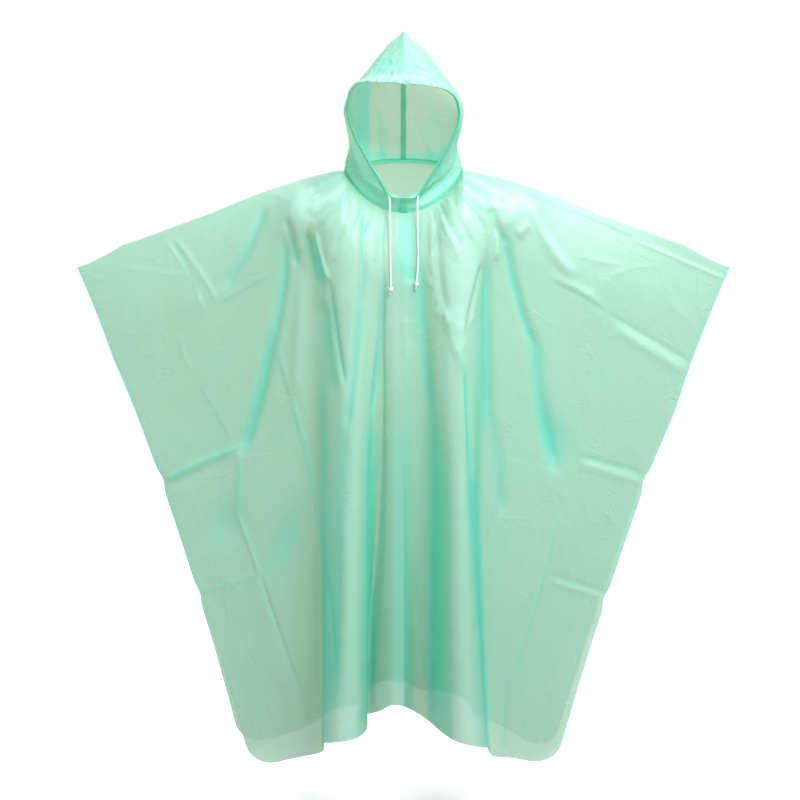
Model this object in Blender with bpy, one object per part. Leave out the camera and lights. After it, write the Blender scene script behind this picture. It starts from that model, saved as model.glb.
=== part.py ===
"""Hooded rain poncho of thin film, filled out as it is worn, with its drawstring hanging at the chest.

Metres, +Z up, the front faces -Y. The origin is the middle of the neck hole, level with the ends of
the two shoulder lines, where the wearer's neck carries the poncho.
"""

import math
from collections import namedtuple

import bpy
from mathutils import Vector

# Driving sizes
WALL = 0.0012  # the film, as thick as it can be cut here
GAP = 0.0003  # between pieces that meet
NECK_HALF_WIDTH = 0.110
NECK_HALF_DEPTH = 0.078
NECK_FRONT_DROP = 0.085
NECK_BACK_RISE = 0.025
NECK_SHARPNESS = 1.6
CORNER_RADIUS = 0.050
PANEL_LENGTH = 0.997
CHEST_SHARE = 0.17  # of the length, over which the film rounds a shoulder
SHOULDER_DROP = 0.115  # of the fall to the hem, over the same stretch
FULL_ROUND = 0.09  # a column that comes this far forward rounds the shoulder fully
RING_HEIGHT = 0.008
STRIP_WIDTH = 0.010
CHIN_STRIP_WIDTH = 0.013
CASING_WIDTH = 0.013
CASING_DEPTH = 0.0060
CASING_WALL = 0.0010
CASING_SIDES = 8
CORD_RADIUS = 0.0015
KNOT_RADIUS = 0.0042
MINT = (0.30, 0.72, 0.55)
DEEP_MINT = (0.20, 0.62, 0.46)
WHITE = (0.85, 0.88, 0.84)
LEFT, RIGHT = -1, 1
FRONT, BACK = -1, 1
PANEL_ROWS = 13
HOOD_COLUMNS = 13
HOOD_ROWS_AT = [0, 0.5, 1, 1.5, 2.1, 2.5, 3, 3.5, 4, 4.5, 5, 5.5, 6, 6.5, 7, 7.5, 8, 8.5, 9, 9.4, 9.7]

# The shoulder line, from the neck out to the wing's tip
Shoulder = namedtuple("Shoulder", "out height")
SHOULDER = [
    Shoulder(0.110, 0.000),
    Shoulder(0.139, -0.004),
    Shoulder(0.239, -0.032),
    Shoulder(0.368, -0.082),
    Shoulder(0.524, -0.138),
    Shoulder(0.611, -0.180),
]

# Where the folds of a panel stand. Each row is one line down the cloth, from the centre out:
# its distance from the centre at the top, half way and at the hem, then how far it stands forward
# of (or behind) the shoulder line at the chest and at the hem, and how deep the hem hangs.
Line = namedtuple("Line", "top middle hem chest fold foot")
FRONT_LEFT = [
    Line(0.000, 0.000, 0.000, 0.114, 0.072, 0.991),
    Line(0.020, 0.016, 0.020, 0.116, 0.098, 0.988),
    Line(0.037, 0.030, 0.046, 0.114, 0.040, 1.002),
    Line(0.048, 0.042, 0.084, 0.114, 0.018, 1.018),
    Line(0.060, 0.060, 0.065, 0.119, 0.100, 1.023),
    Line(0.078, 0.082, 0.084, 0.123, 0.170, 1.034),
    Line(0.100, 0.108, 0.121, 0.119, 0.178, 1.040),
    Line(0.135, 0.138, 0.147, 0.106, 0.122, 1.051),
    Line(0.175, 0.158, 0.146, 0.080, 0.052, 1.073),
    Line(0.215, 0.188, 0.158, 0.068, 0.040, 1.082),
    Line(0.310, 0.262, 0.196, 0.040, 0.034, 1.091),
    Line(0.455, 0.345, 0.240, 0.018, 0.022, 1.103),
    Line(0.610, 0.428, 0.281, 0.006, 0.014, 1.118),
]
FRONT_RIGHT = [
    Line(0.000, 0.000, 0.000, 0.114, 0.072, 0.991),
    Line(0.020, 0.022, 0.020, 0.113, 0.026, 1.007),
    Line(0.044, 0.046, 0.046, 0.113, 0.034, 1.022),
    Line(0.062, 0.064, 0.066, 0.119, 0.108, 1.029),
    Line(0.082, 0.086, 0.090, 0.123, 0.176, 1.036),
    Line(0.106, 0.108, 0.120, 0.118, 0.186, 1.045),
    Line(0.138, 0.128, 0.148, 0.104, 0.138, 1.056),
    Line(0.172, 0.144, 0.155, 0.082, 0.066, 1.074),
    Line(0.214, 0.172, 0.167, 0.070, 0.046, 1.087),
    Line(0.310, 0.256, 0.203, 0.042, 0.036, 1.092),
    Line(0.455, 0.342, 0.243, 0.018, 0.022, 1.102),
    Line(0.610, 0.430, 0.281, 0.006, 0.014, 1.116),
]
BACK_LEFT = [
    Line(0.000, 0.000, 0.000, 0.112, 0.112, 0.970),
    Line(0.036, 0.034, 0.030, 0.114, 0.172, 0.975),
    Line(0.070, 0.060, 0.064, 0.115, 0.150, 0.985),
    Line(0.105, 0.090, 0.072, 0.112, 0.062, 0.998),
    Line(0.140, 0.116, 0.100, 0.102, 0.070, 1.012),
    Line(0.178, 0.150, 0.132, 0.086, 0.142, 1.024),
    Line(0.225, 0.190, 0.158, 0.068, 0.118, 1.040),
    Line(0.310, 0.262, 0.200, 0.044, 0.052, 1.054),
    Line(0.455, 0.354, 0.254, 0.020, 0.028, 1.066),
    Line(0.610, 0.438, 0.304, 0.006, 0.014, 1.080),
]
BACK_RIGHT = [
    Line(0.000, 0.000, 0.000, 0.112, 0.112, 0.970),
    Line(0.034, 0.030, 0.026, 0.114, 0.066, 0.976),
    Line(0.068, 0.060, 0.054, 0.115, 0.096, 0.984),
    Line(0.102, 0.090, 0.084, 0.112, 0.168, 0.996),
    Line(0.140, 0.120, 0.118, 0.102, 0.148, 1.010),
    Line(0.180, 0.150, 0.134, 0.086, 0.072, 1.026),
    Line(0.226, 0.190, 0.164, 0.068, 0.096, 1.040),
    Line(0.310, 0.260, 0.200, 0.044, 0.070, 1.056),
    Line(0.455, 0.345, 0.242, 0.020, 0.030, 1.076),
    Line(0.610, 0.428, 0.276, 0.006, 0.014, 1.094),
]

# How far out each half's edge hangs at the hem, where its lower corner is rounded
FLAT_EDGE = {
    (FRONT, LEFT): FRONT_LEFT[-1].hem,
    (FRONT, RIGHT): FRONT_RIGHT[-1].hem,
    (BACK, LEFT): BACK_LEFT[-1].hem,
    (BACK, RIGHT): BACK_RIGHT[-1].hem,
}

# The hood, a row for each rib of a half from the neck up. A rib starts at the face opening, passes
# the side of the head, where it is widest, and ends at the centre seam behind. The opening is a
# little lopsided: the right half's edge lies lower than face_z by lean, the left half's higher.
Rib = namedtuple("Rib", "face_x face_y face_z lean side_x side_y side_z seam_y seam_z")
RIBS = [
    Rib(0.0000, -0.0800, -0.073, 0.000, 0.1085, 0.000, 0.015, 0.081, 0.046),
    Rib(0.0000, -0.0905, -0.060, 0.000, 0.1060, 0.000, 0.023, 0.088, 0.062),
    Rib(0.0235, -0.0920, -0.056, 0.000, 0.1010, 0.000, 0.043, 0.097, 0.084),
    Rib(0.0450, -0.0905, -0.023, 0.001, 0.1025, 0.000, 0.068, 0.104, 0.108),
    Rib(0.0665, -0.0870, 0.012, 0.002, 0.1085, 0.001, 0.094, 0.107, 0.136),
    Rib(0.0900, -0.0835, 0.054, 0.004, 0.1115, 0.002, 0.118, 0.104, 0.164),
    Rib(0.1020, -0.0820, 0.094, 0.007, 0.1020, 0.004, 0.146, 0.096, 0.192),
    Rib(0.0985, -0.0870, 0.128, 0.009, 0.0835, 0.006, 0.176, 0.080, 0.218),
    Rib(0.0780, -0.0950, 0.145, 0.007, 0.0640, 0.008, 0.207, 0.058, 0.240),
    Rib(0.0420, -0.0990, 0.148, 0.003, 0.0420, 0.010, 0.236, 0.038, 0.256),
    Rib(0.0000, -0.1010, 0.148, 0.000, 0.0000, 0.012, 0.262, 0.024, 0.266),
]
CHIN_RIB = 2  # the first rib that starts at the face opening and not at the chin seam
SIDE_SHARE = 0.45  # of a rib's columns lie before the side of the head

# The drawstring's two free ends, from inside the mouths of the casing down to the knots
CORD_LEFT = [
    (-0.0316, -0.0885, -0.0477),
    (-0.0297, -0.0887, -0.0505),
    (-0.0272, -0.0893, -0.0545),
    (-0.0256, -0.0903, -0.0605),
    (-0.0249, -0.0914, -0.0690),
    (-0.0246, -0.0925, -0.0810),
    (-0.0245, -0.0938, -0.0960),
    (-0.0245, -0.0975, -0.1110),
    (-0.0245, -0.1025, -0.1270),
    (-0.0244, -0.1080, -0.1470),
    (-0.0243, -0.1128, -0.1650),
    (-0.0240, -0.1160, -0.1830),
    (-0.0236, -0.1175, -0.2020),
    (-0.0231, -0.1187, -0.2225),
]
CORD_RIGHT = [
    (0.0316, -0.0885, -0.0477),
    (0.0297, -0.0887, -0.0505),
    (0.0272, -0.0893, -0.0545),
    (0.0258, -0.0903, -0.0605),
    (0.0254, -0.0914, -0.0690),
    (0.0256, -0.0925, -0.0810),
    (0.0259, -0.0938, -0.0960),
    (0.0262, -0.0965, -0.1110),
    (0.0264, -0.1010, -0.1270),
    (0.0266, -0.1058, -0.1470),
    (0.0266, -0.1100, -0.1650),
    (0.0262, -0.1135, -0.1820),
    (0.0250, -0.1145, -0.1980),
    (0.0236, -0.1155, -0.2130),
]
CORD_POINTS = 30


def finish(name, colour, roughness):
    """A material of its own for one piece."""
    material = bpy.data.materials.new(name)
    material.use_nodes = True
    shader = material.node_tree.nodes["Principled BSDF"]
    shader.inputs["Base Color"].default_value = (*colour, 1.0)
    shader.inputs["Roughness"].default_value = roughness
    shader.inputs["Metallic"].default_value = 0.0
    return material


def solid(name, points, faces, colour, roughness, smooth=True):
    """A named object from points and faces, with all its faces turned out."""
    mesh = bpy.data.meshes.new(name)
    mesh.from_pydata([tuple(p) for p in points], [], faces)
    piece = bpy.data.objects.new(name, mesh)
    bpy.context.scene.collection.objects.link(piece)
    piece.data.materials.append(finish(name, colour, roughness))
    bpy.context.view_layer.objects.active = piece
    piece.select_set(True)
    bpy.ops.object.mode_set(mode="EDIT")
    bpy.ops.mesh.select_all(action="SELECT")
    bpy.ops.mesh.normals_make_consistent(inside=False)
    bpy.ops.object.mode_set(mode="OBJECT")
    piece.select_set(False)
    if smooth:
        mesh.shade_smooth()
        mesh.set_sharp_from_angle(angle=math.radians(50))
    return piece


def between(a, b, share):
    return a + (b - a) * share


def along(rows, at):
    """A row read between two rows of a table, on a smooth curve through its neighbours."""
    at = min(max(at, 0.0), len(rows) - 1.0)
    low = min(int(at), len(rows) - 2)
    share = at - low
    before, here = rows[max(low - 1, 0)], rows[low]
    after, beyond = rows[low + 1], rows[min(low + 2, len(rows) - 1)]
    read = [
        0.5
        * (
            2 * b
            + (c - a) * share
            + (2 * a - 5 * b + 4 * c - d) * share**2
            + (3 * b - a - 3 * c + d) * share**3
        )
        for a, b, c, d in zip(before, here, after, beyond)
    ]
    return type(here)(*read) if hasattr(here, "_fields") else Vector(read)


def neck_point(turn):
    """The neck hole's edge, from 0 at the front round to pi at the back."""
    swing = math.cos(turn)
    depth = -NECK_FRONT_DROP if swing > 0 else NECK_BACK_RISE
    return Vector(
        (
            NECK_HALF_WIDTH * math.sin(turn),
            -NECK_HALF_DEPTH * swing,
            depth * abs(swing) ** NECK_SHARPNESS,
        )
    )


def shoulder_height(out):
    """How high the shoulder line is at a distance out from the centre."""
    last = len(SHOULDER) - 2
    low = max([i for i in range(last + 1) if SHOULDER[i].out <= out] or [0])
    here, after = SHOULDER[low], SHOULDER[low + 1]
    return along(SHOULDER, low + (out - here.out) / (after.out - here.out)).height


def top_point(out, face):
    """A panel's upper edge: the neck hole, then the shoulder line, just clear of what it meets."""
    if out < NECK_HALF_WIDTH:
        turn = math.asin(out / NECK_HALF_WIDTH)
        edge = neck_point(turn if face == FRONT else math.pi - turn)
        clear = Vector((edge.x, edge.y, 0)).normalized() * (WALL + GAP)
        return edge + clear - Vector((0, 0, WALL))
    return Vector((out + WALL, face * (WALL + GAP) / 2, shoulder_height(out)))


def panel_column(line, side, face):
    """One line down a panel, over the shoulder, down the chest and along its fold to the hem."""
    top = top_point(max(line.top, 0.0), face)
    forward = abs(face * line.chest - top.y)
    roundness = min(1.0, forward / FULL_ROUND)
    edge = max(0.0, 1 - (FLAT_EDGE[face, side] - line.hem) / CORNER_RADIUS)
    reach = 1 - CORNER_RADIUS * (1 - math.sqrt(max(0.0, 1 - edge * edge))) / PANEL_LENGTH
    column = []
    for row in range(PANEL_ROWS):
        share = reach * (row / (PANEL_ROWS - 1)) ** 1.15
        ahead, behind = (1 - share) * (1 - 2 * share), share * (2 * share - 1)
        x = top.x * ahead + line.middle * 4 * share * (1 - share) + line.hem * behind
        fall = share
        if share < CHEST_SHARE:
            quarter = math.pi / 2 * share / CHEST_SHARE
            y = between(top.y, face * line.chest, math.sin(quarter))
            fall = between(share, SHOULDER_DROP * (1 - math.cos(quarter)), roundness)
        else:
            lower = (share - CHEST_SHARE) / (1 - CHEST_SHARE)
            y = face * between(line.chest, line.fold, lower)
            fall = between(share, between(SHOULDER_DROP, 1.0, lower), roundness)
        column.append(Vector((side * x, y, between(top.z, -line.foot, fall))))
    return column


def half_panel(lines, side, face):
    """The columns of half a panel from the centre out, closer together at the lower corner."""
    stops = [step / 2 for step in range(2 * (len(lines) - 1))]
    stops += [len(lines) - 1 - 0.25, len(lines) - 1 - 0.08, len(lines) - 1]
    return [panel_column(along(lines, at), side, face) for at in stops]


def wall(name, grid, colour, roughness):
    """A closed wall WALL thick, whose middle is a grid of points."""
    down, across = len(grid), len(grid[0])
    points, sides = [], []
    for sign in (1, -1):
        for i in range(down):
            for j in range(across):
                over = grid[min(i + 1, down - 1)][j] - grid[max(i - 1, 0)][j]
                along_row = grid[i][min(j + 1, across - 1)] - grid[i][max(j - 1, 0)]
                normal = over.cross(along_row).normalized()
                points.append(grid[i][j] + normal * (sign * WALL / 2))
    faces = []
    back = down * across
    for i in range(down - 1):
        for j in range(across - 1):
            a, b = i * across + j, (i + 1) * across + j
            faces.append((a, b, b + 1, a + 1))
            faces.append((back + a, back + a + 1, back + b + 1, back + b))
    rim = [j for j in range(across)]
    rim += [i * across + across - 1 for i in range(1, down)]
    rim += [(down - 1) * across + j for j in range(across - 2, -1, -1)]
    rim += [i * across for i in range(down - 2, 0, -1)]
    for here, there in zip(rim, rim[1:] + rim[:1]):
        faces.append((here, there, back + there, back + here))
    return solid(name, points, faces, colour, roughness)


def tube(name, stations, colour, roughness, hollow=None):
    """A tube through closed sections; hollow gives the matching inner sections, open at both ends."""
    around = len(stations[0])
    points = [p for section in stations for p in section]
    faces = []

    def skin(first):
        for i in range(len(stations) - 1):
            for j in range(around):
                k = (j + 1) % around
                a, b = first + i * around, first + (i + 1) * around
                faces.append((a + j, a + k, b + k, b + j))

    skin(0)
    last = (len(stations) - 1) * around
    if hollow:
        inner = len(points)
        points += [p for section in hollow for p in section]
        skin(inner)
        for end in (0, last):
            for j in range(around):
                k = (j + 1) % around
                faces.append((end + j, end + k, inner + end + k, inner + end + j))
    else:
        faces.append(tuple(range(around)))
        faces.append(tuple(last + j for j in range(around)))
    return solid(name, points, faces, colour, roughness)


def body_panel(name, left, right, face):
    """A front or back panel as one wall, from its left lower corner round to its right one."""
    columns = half_panel(left, LEFT, face)[:0:-1] + half_panel(right, RIGHT, face)
    grid = [[column[row] for column in columns] for row in range(PANEL_ROWS)]
    wall(name, grid, MINT, 0.45)


def neck_ring():
    """The weld between hood and panels: a low upright band all the way round the neck hole."""
    sections = []
    stations = 2 * (HOOD_COLUMNS - 1)
    for station in range(stations):
        turn = 2 * math.pi * station / stations
        middle = neck_point(turn if turn <= math.pi else 2 * math.pi - turn)
        if turn > math.pi:
            middle.x = -middle.x
        out = Vector((middle.x, middle.y, 0)).normalized() * (WALL / 2)
        up = Vector((0, 0, RING_HEIGHT))
        sections.append([middle - out, middle + out, middle + out + up, middle - out + up])
    points = [p for section in sections for p in section]
    faces = []
    for i in range(stations):
        a, b = 4 * i, 4 * ((i + 1) % stations)
        for j in range(4):
            k = (j + 1) % 4
            faces.append((a + j, a + k, b + k, b + j))
    solid("neck_seam", points, faces, DEEP_MINT, 0.40)


def rib_point(rib, share):
    """A point on a rib, from 0 at the face or chin to 1 at the centre seam."""
    if share < SIDE_SHARE:
        turn = math.pi / 2 * share / SIDE_SHARE
        ahead = share / SIDE_SHARE
        return Vector(
            (
                between(rib.face_x, rib.side_x, math.sin(turn)),
                between(rib.face_y, rib.side_y, ahead),
                between(rib.face_z, rib.side_z, ahead),
            )
        )
    turn = math.pi / 2 * (share - SIDE_SHARE) / (1 - SIDE_SHARE)
    return Vector(
        (
            rib.side_x * math.cos(turn),
            between(rib.side_y, rib.seam_y, math.sin(turn)),
            between(rib.side_z, rib.seam_z, 1 - math.cos(turn)),
        )
    )


def sided_rib(at, side):
    """A rib of one half of the hood, with its own lean; None for the row that stands on the ring."""
    if at <= 0:
        return None
    rib = along(RIBS, at)
    return rib._replace(face_z=rib.face_z - side * rib.lean)


def hood_row(at, side):
    """One row of a half: its rib, clear of the casing in front and of the seam strips."""
    rib = sided_rib(at, side)
    start = casing_share(rib, CASING_WIDTH + 6 * GAP) if at >= CHIN_RIB else 0.0
    least = CHIN_STRIP_WIDTH / 2 if at < CHIN_RIB else STRIP_WIDTH / 2
    row = []
    for column in range(HOOD_COLUMNS):
        share = column / (HOOD_COLUMNS - 1)
        point = hood_point(rib, between(start, 1.0, share))
        clear = between(least, STRIP_WIDTH / 2, share) + GAP + WALL / 2
        row.append(Vector((side * max(point.x, clear), point.y, point.z)))
    return row


def casing_share(rib, reach):
    """How far along a rib lies a point at a given reach from the face opening."""
    near = 0.12
    return near * reach / (rib_point(rib, near) - rib_point(rib, 0.0)).length


def hood_point(rib, share):
    """A point of the hood; the lowest row, which has no rib, stands on the neck ring."""
    if rib is None:
        return neck_point(math.pi * share) + Vector((0, 0, RING_HEIGHT + GAP + WALL))
    return rib_point(rib, share)


def hood_halves():
    """Two halves, each one wall from the neck up to the centre seam."""
    wall("hood_left", [hood_row(at, LEFT) for at in HOOD_ROWS_AT], MINT, 0.45)
    wall("hood_right", [hood_row(at, RIGHT) for at in HOOD_ROWS_AT], MINT, 0.45)


def strip(name, middle, width):
    """A flat strip across X that follows a line of points on the centre plane."""
    grid = [[Vector((width * side / 2, p.y, p.z)) for side in (-1, 0, 1)] for p in middle]
    wall(name, grid, DEEP_MINT, 0.40)


def centre_seam():
    """The weld that joins the halves, from the neck ring up the back, over the peak to the brim."""
    low = hood_point(None, 1.0)
    last = len(RIBS) - 1
    behind = [rib_point(along(RIBS, 0.4 + (last - 0.4) * i / 15), 1.0) for i in range(16)]
    over = [rib_point(RIBS[-1], 1 - i / 8) for i in range(1, 8)]
    strip("hood_centre_seam", [low] + behind + over, STRIP_WIDTH)


def chin_seam():
    """The short weld below the face opening."""
    low = hood_point(None, 0.0)
    strip("chin_seam", [low] + [rib_point(RIBS[i], 0.0) for i in (0, 1)], CHIN_STRIP_WIDTH)


def casing():
    """The channel for the drawstring: a flattened tube round the face, open at both its ends."""
    half = [at for at in HOOD_ROWS_AT if at > CHIN_RIB]
    stations = [(at, RIGHT) for at in half] + [(len(RIBS) - 1, RIGHT)]
    stations += [(at, LEFT) for at in reversed(half)]
    centres, backs = [], []
    for at, side in stations:
        rib = sided_rib(at, side)
        face, inner = rib_point(rib, 0.0), rib_point(rib, 0.12)
        face.x, inner.x = side * face.x, side * inner.x
        backs.append((inner - face).normalized())
        centres.append(face + backs[-1] * (CASING_WIDTH / 2))
    outer, inside = [], []
    for i, (centre, back) in enumerate(zip(centres, backs)):
        ahead = centres[min(i + 1, len(centres) - 1)] - centres[max(i - 1, 0)]
        out = ahead.cross(back).normalized()
        for ring, trim in ((outer, 0.0), (inside, CASING_WALL)):
            wide, deep = CASING_WIDTH / 2 - trim, CASING_DEPTH / 2 - trim
            ring.append(
                [
                    centre + back * (wide * math.cos(a)) + out * (deep * math.sin(a))
                    for a in (math.tau * k / CASING_SIDES for k in range(CASING_SIDES))
                ]
            )
    tube("face_casing", outer, DEEP_MINT, 0.42, hollow=inside)


def drawstring(name, route):
    """A free end of the cord, on a smooth curve through its route's points."""
    curve = bpy.data.curves.new(name, "CURVE")
    curve.dimensions = "3D"
    curve.bevel_depth = CORD_RADIUS
    curve.bevel_resolution = 2
    curve.use_fill_caps = True
    line = curve.splines.new("POLY")
    line.points.add(CORD_POINTS - 1)
    points = [Vector(p) for p in route]
    for i, spot in enumerate(line.points):
        at = (len(points) - 1) * i / (CORD_POINTS - 1)
        spot.co = (*along(points, at), 1.0)
    piece = bpy.data.objects.new(name, curve)
    bpy.context.scene.collection.objects.link(piece)
    curve.materials.append(finish(name, WHITE, 0.70))


def knot(name, route):
    """The knot that ends a cord, a small flattened ball just below it."""
    end = Vector(route[-1])
    middle = end - Vector((0, 0, KNOT_RADIUS + GAP))
    bpy.ops.mesh.primitive_uv_sphere_add(
        segments=10, ring_count=7, radius=KNOT_RADIUS, location=middle
    )
    ball = bpy.context.object
    ball.name = name
    ball.data.materials.append(finish(name, WHITE, 0.70))
    ball.data.shade_smooth()
    ball.select_set(False)


for old in list(bpy.data.objects):
    bpy.data.objects.remove(old)

body_panel("body_front", FRONT_LEFT, FRONT_RIGHT, FRONT)
body_panel("body_back", BACK_LEFT, BACK_RIGHT, BACK)
neck_ring()
hood_halves()
centre_seam()
chin_seam()
casing()
drawstring("drawstring_left", CORD_LEFT)
drawstring("drawstring_right", CORD_RIGHT)
knot("knot_left", CORD_LEFT)
knot("knot_right", CORD_RIGHT)
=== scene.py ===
"""Hooded rain poncho of thin mint film, filled out as it is worn, with its drawstring at the chest.

Metres, +Z up, the front faces -Y. The origin is the middle of the neck hole, level with the ends of
the two shoulder lines.
"""

import math
from collections import namedtuple

import bpy
import numpy as np
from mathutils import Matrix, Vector


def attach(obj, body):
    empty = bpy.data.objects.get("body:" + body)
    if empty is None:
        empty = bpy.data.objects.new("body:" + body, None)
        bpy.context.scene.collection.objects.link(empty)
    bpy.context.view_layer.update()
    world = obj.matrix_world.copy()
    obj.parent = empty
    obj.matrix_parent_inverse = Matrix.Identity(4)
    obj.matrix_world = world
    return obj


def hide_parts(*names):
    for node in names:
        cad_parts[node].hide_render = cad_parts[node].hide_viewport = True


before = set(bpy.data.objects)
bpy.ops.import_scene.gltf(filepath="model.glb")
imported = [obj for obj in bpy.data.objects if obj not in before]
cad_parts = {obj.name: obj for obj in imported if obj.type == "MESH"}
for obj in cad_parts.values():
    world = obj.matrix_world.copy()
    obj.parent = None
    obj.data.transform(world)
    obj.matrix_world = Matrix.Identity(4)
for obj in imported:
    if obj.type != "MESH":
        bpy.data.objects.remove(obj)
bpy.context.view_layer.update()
bpy.ops.object.select_all(action="DESELECT")

# ------------------------------------------------
# The camera stands level with the wearer's hips, four metres in front, and looks straight ahead.
# A long lens keeps the cut of the poncho true.
def put(name, data):
    """A new object in the scene."""
    thing = bpy.data.objects.new(name, data)
    bpy.context.scene.collection.objects.link(thing)
    return thing


lens = bpy.data.cameras.new("camera")
lens.lens = 96.26
lens.sensor_width = 36
camera = put("camera", lens)
camera.location = (-0.0065, -4.0, -0.428)
camera.rotation_euler = (math.pi / 2, 0, 0)
bpy.context.scene.camera = camera
bpy.context.scene.view_settings.view_transform = "Standard"
bpy.context.scene.cycles.transparent_max_bounces = 16

# ------------------------------------------------
# The drawstring: a soft white braided cord, three millimetres thick, that runs through the
# channel round the face. Its two ends come out beside the chin, hang down the chest and are
# stopped by a barrel knot each.
CORD_RADIUS = 0.0015
CORD_AROUND = 24
CORD_RING = 0.0006
BRAID_STRANDS = 6
BRAID_PITCH = 0.0075
BRAID_RELIEF = 0.09
YARN_SHADE = (0.70, 0.73, 0.68)
YARN_WHITE = (0.90, 0.91, 0.88)
CORD_LEFT = [
    (-0.0316, -0.0885, -0.0477),
    (-0.0297, -0.0887, -0.0505),
    (-0.0272, -0.0893, -0.0545),
    (-0.0256, -0.0903, -0.0605),
    (-0.0249, -0.0914, -0.069),
    (-0.0246, -0.0925, -0.081),
    (-0.0245, -0.0938, -0.096),
    (-0.0245, -0.0975, -0.111),
    (-0.0245, -0.1025, -0.127),
    (-0.0244, -0.108, -0.147),
    (-0.0243, -0.1128, -0.165),
    (-0.024, -0.116, -0.183),
    (-0.0236, -0.1175, -0.202),
    (-0.0231, -0.1187, -0.2225),
]
CORD_RIGHT = [
    (0.0316, -0.0885, -0.0477),
    (0.0297, -0.0887, -0.0505),
    (0.0272, -0.0893, -0.0545),
    (0.0258, -0.0903, -0.0605),
    (0.0254, -0.0914, -0.069),
    (0.0256, -0.0925, -0.081),
    (0.0259, -0.0938, -0.096),
    (0.0262, -0.0965, -0.111),
    (0.0264, -0.101, -0.127),
    (0.0266, -0.1058, -0.147),
    (0.0266, -0.11, -0.165),
    (0.0262, -0.1135, -0.182),
    (0.025, -0.1145, -0.198),
    (0.0236, -0.1155, -0.213),
]
KNOT_DROP = 0.0045
KNOT_WRAP = 0.0034
KNOT_HEIGHT = 0.0034
KNOT_TAIL = 0.0095
KNOT_STEPS = 14
KNOT_TURN = 0.26  # half turns from step to step
KNOT_BARREL = 0.18  # how much narrower it is at its two ends
KNOT_ENTRY = [(0.0003, 0, 0.0032), (-0.0002, 0, -0.0005), (0.0009, 0.0002, -0.0030)]
KNOT_EXIT = [(-0.0006, 0.0008, 0.0018), (-0.0010, 0.0004, -0.0010), (-0.0008, -0.0002, -0.0045)]


class Amount:
    """A number that varies over a surface, for sums written as they are on paper."""

    def __init__(self, finish, socket):
        self.finish, self.socket = finish, socket

    def sum(self, operation, first, second=0.0):
        return self.finish.add("Math", {"operation": operation}, {0: first, 1: second})

    def __add__(self, other):
        return self.sum("ADD", self, other)

    def __sub__(self, other):
        return self.sum("SUBTRACT", self, other)

    def __mul__(self, other):
        return self.sum("MULTIPLY", self, other)

    def __rsub__(self, other):
        return self.sum("SUBTRACT", other, self)

    def __pow__(self, other):
        return self.sum("POWER", self, other)

    def __abs__(self):
        return self.sum("ABSOLUTE", self)

    __radd__ = __add__
    __rmul__ = __mul__


class Finish:
    """A material, or the light of a room, that is put together node by node."""

    def __init__(self, name, kind=bpy.data.materials):
        self.block = kind.new(name)
        self.block.use_nodes = True
        self.tree = self.block.node_tree
        self.tree.nodes.clear()

    def add(self, kind, settings, sockets, out=0):
        """A node of a kind, with its settings made first and then its sockets filled."""
        node = self.tree.nodes.new("ShaderNode" + kind)
        for name, value in settings.items():
            setattr(node, name, value)
        for name, value in sockets.items():
            if isinstance(value, Amount):
                self.tree.links.new(value.socket, node.inputs[name])
            else:
                node.inputs[name].default_value = value
        return Amount(self, node.outputs[out])

    def between(self, share, first, second):
        """A colour between two others."""
        colours = {6: self.colour(first), 7: self.colour(second), 0: share}
        return self.add("Mix", {"data_type": "RGBA"}, colours, out=2)

    def colour(self, value):
        return value if isinstance(value, Amount) else (*value, 1.0)

    def noise(self, where, size, detail=2.0, distortion=0.0):
        """Cloudy noise whose patches are about as large as size."""
        sockets = {"Vector": where, "Scale": 1 / size, "Detail": detail, "Distortion": distortion}
        return self.add("TexNoise", {}, sockets)

    def close(self, surface, kind="Material"):
        output = self.tree.nodes.new("ShaderNodeOutput" + kind)
        self.tree.links.new(surface.socket, output.inputs["Surface"])
        return self.block


def smooth(rows, at):
    """The rows of a table read at many places, on a smooth curve through them."""
    table = np.array(rows, dtype=float)
    low = np.clip(at.astype(int), 0, len(table) - 2)
    s = (at - low)[:, None]
    a, b = table[np.maximum(low - 1, 0)], table[low]
    c, d = table[low + 1], table[np.minimum(low + 2, len(table) - 1)]
    bend = (c - a) * s + (2 * a - 5 * b + 4 * c - d) * s**2 + (3 * b - a - 3 * c + d) * s**3
    return b + bend / 2


def through(points, count):
    """A number of points on a smooth curve through others."""
    return [Vector(p) for p in smooth(points, np.linspace(0, len(points) - 1, count))]


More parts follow.
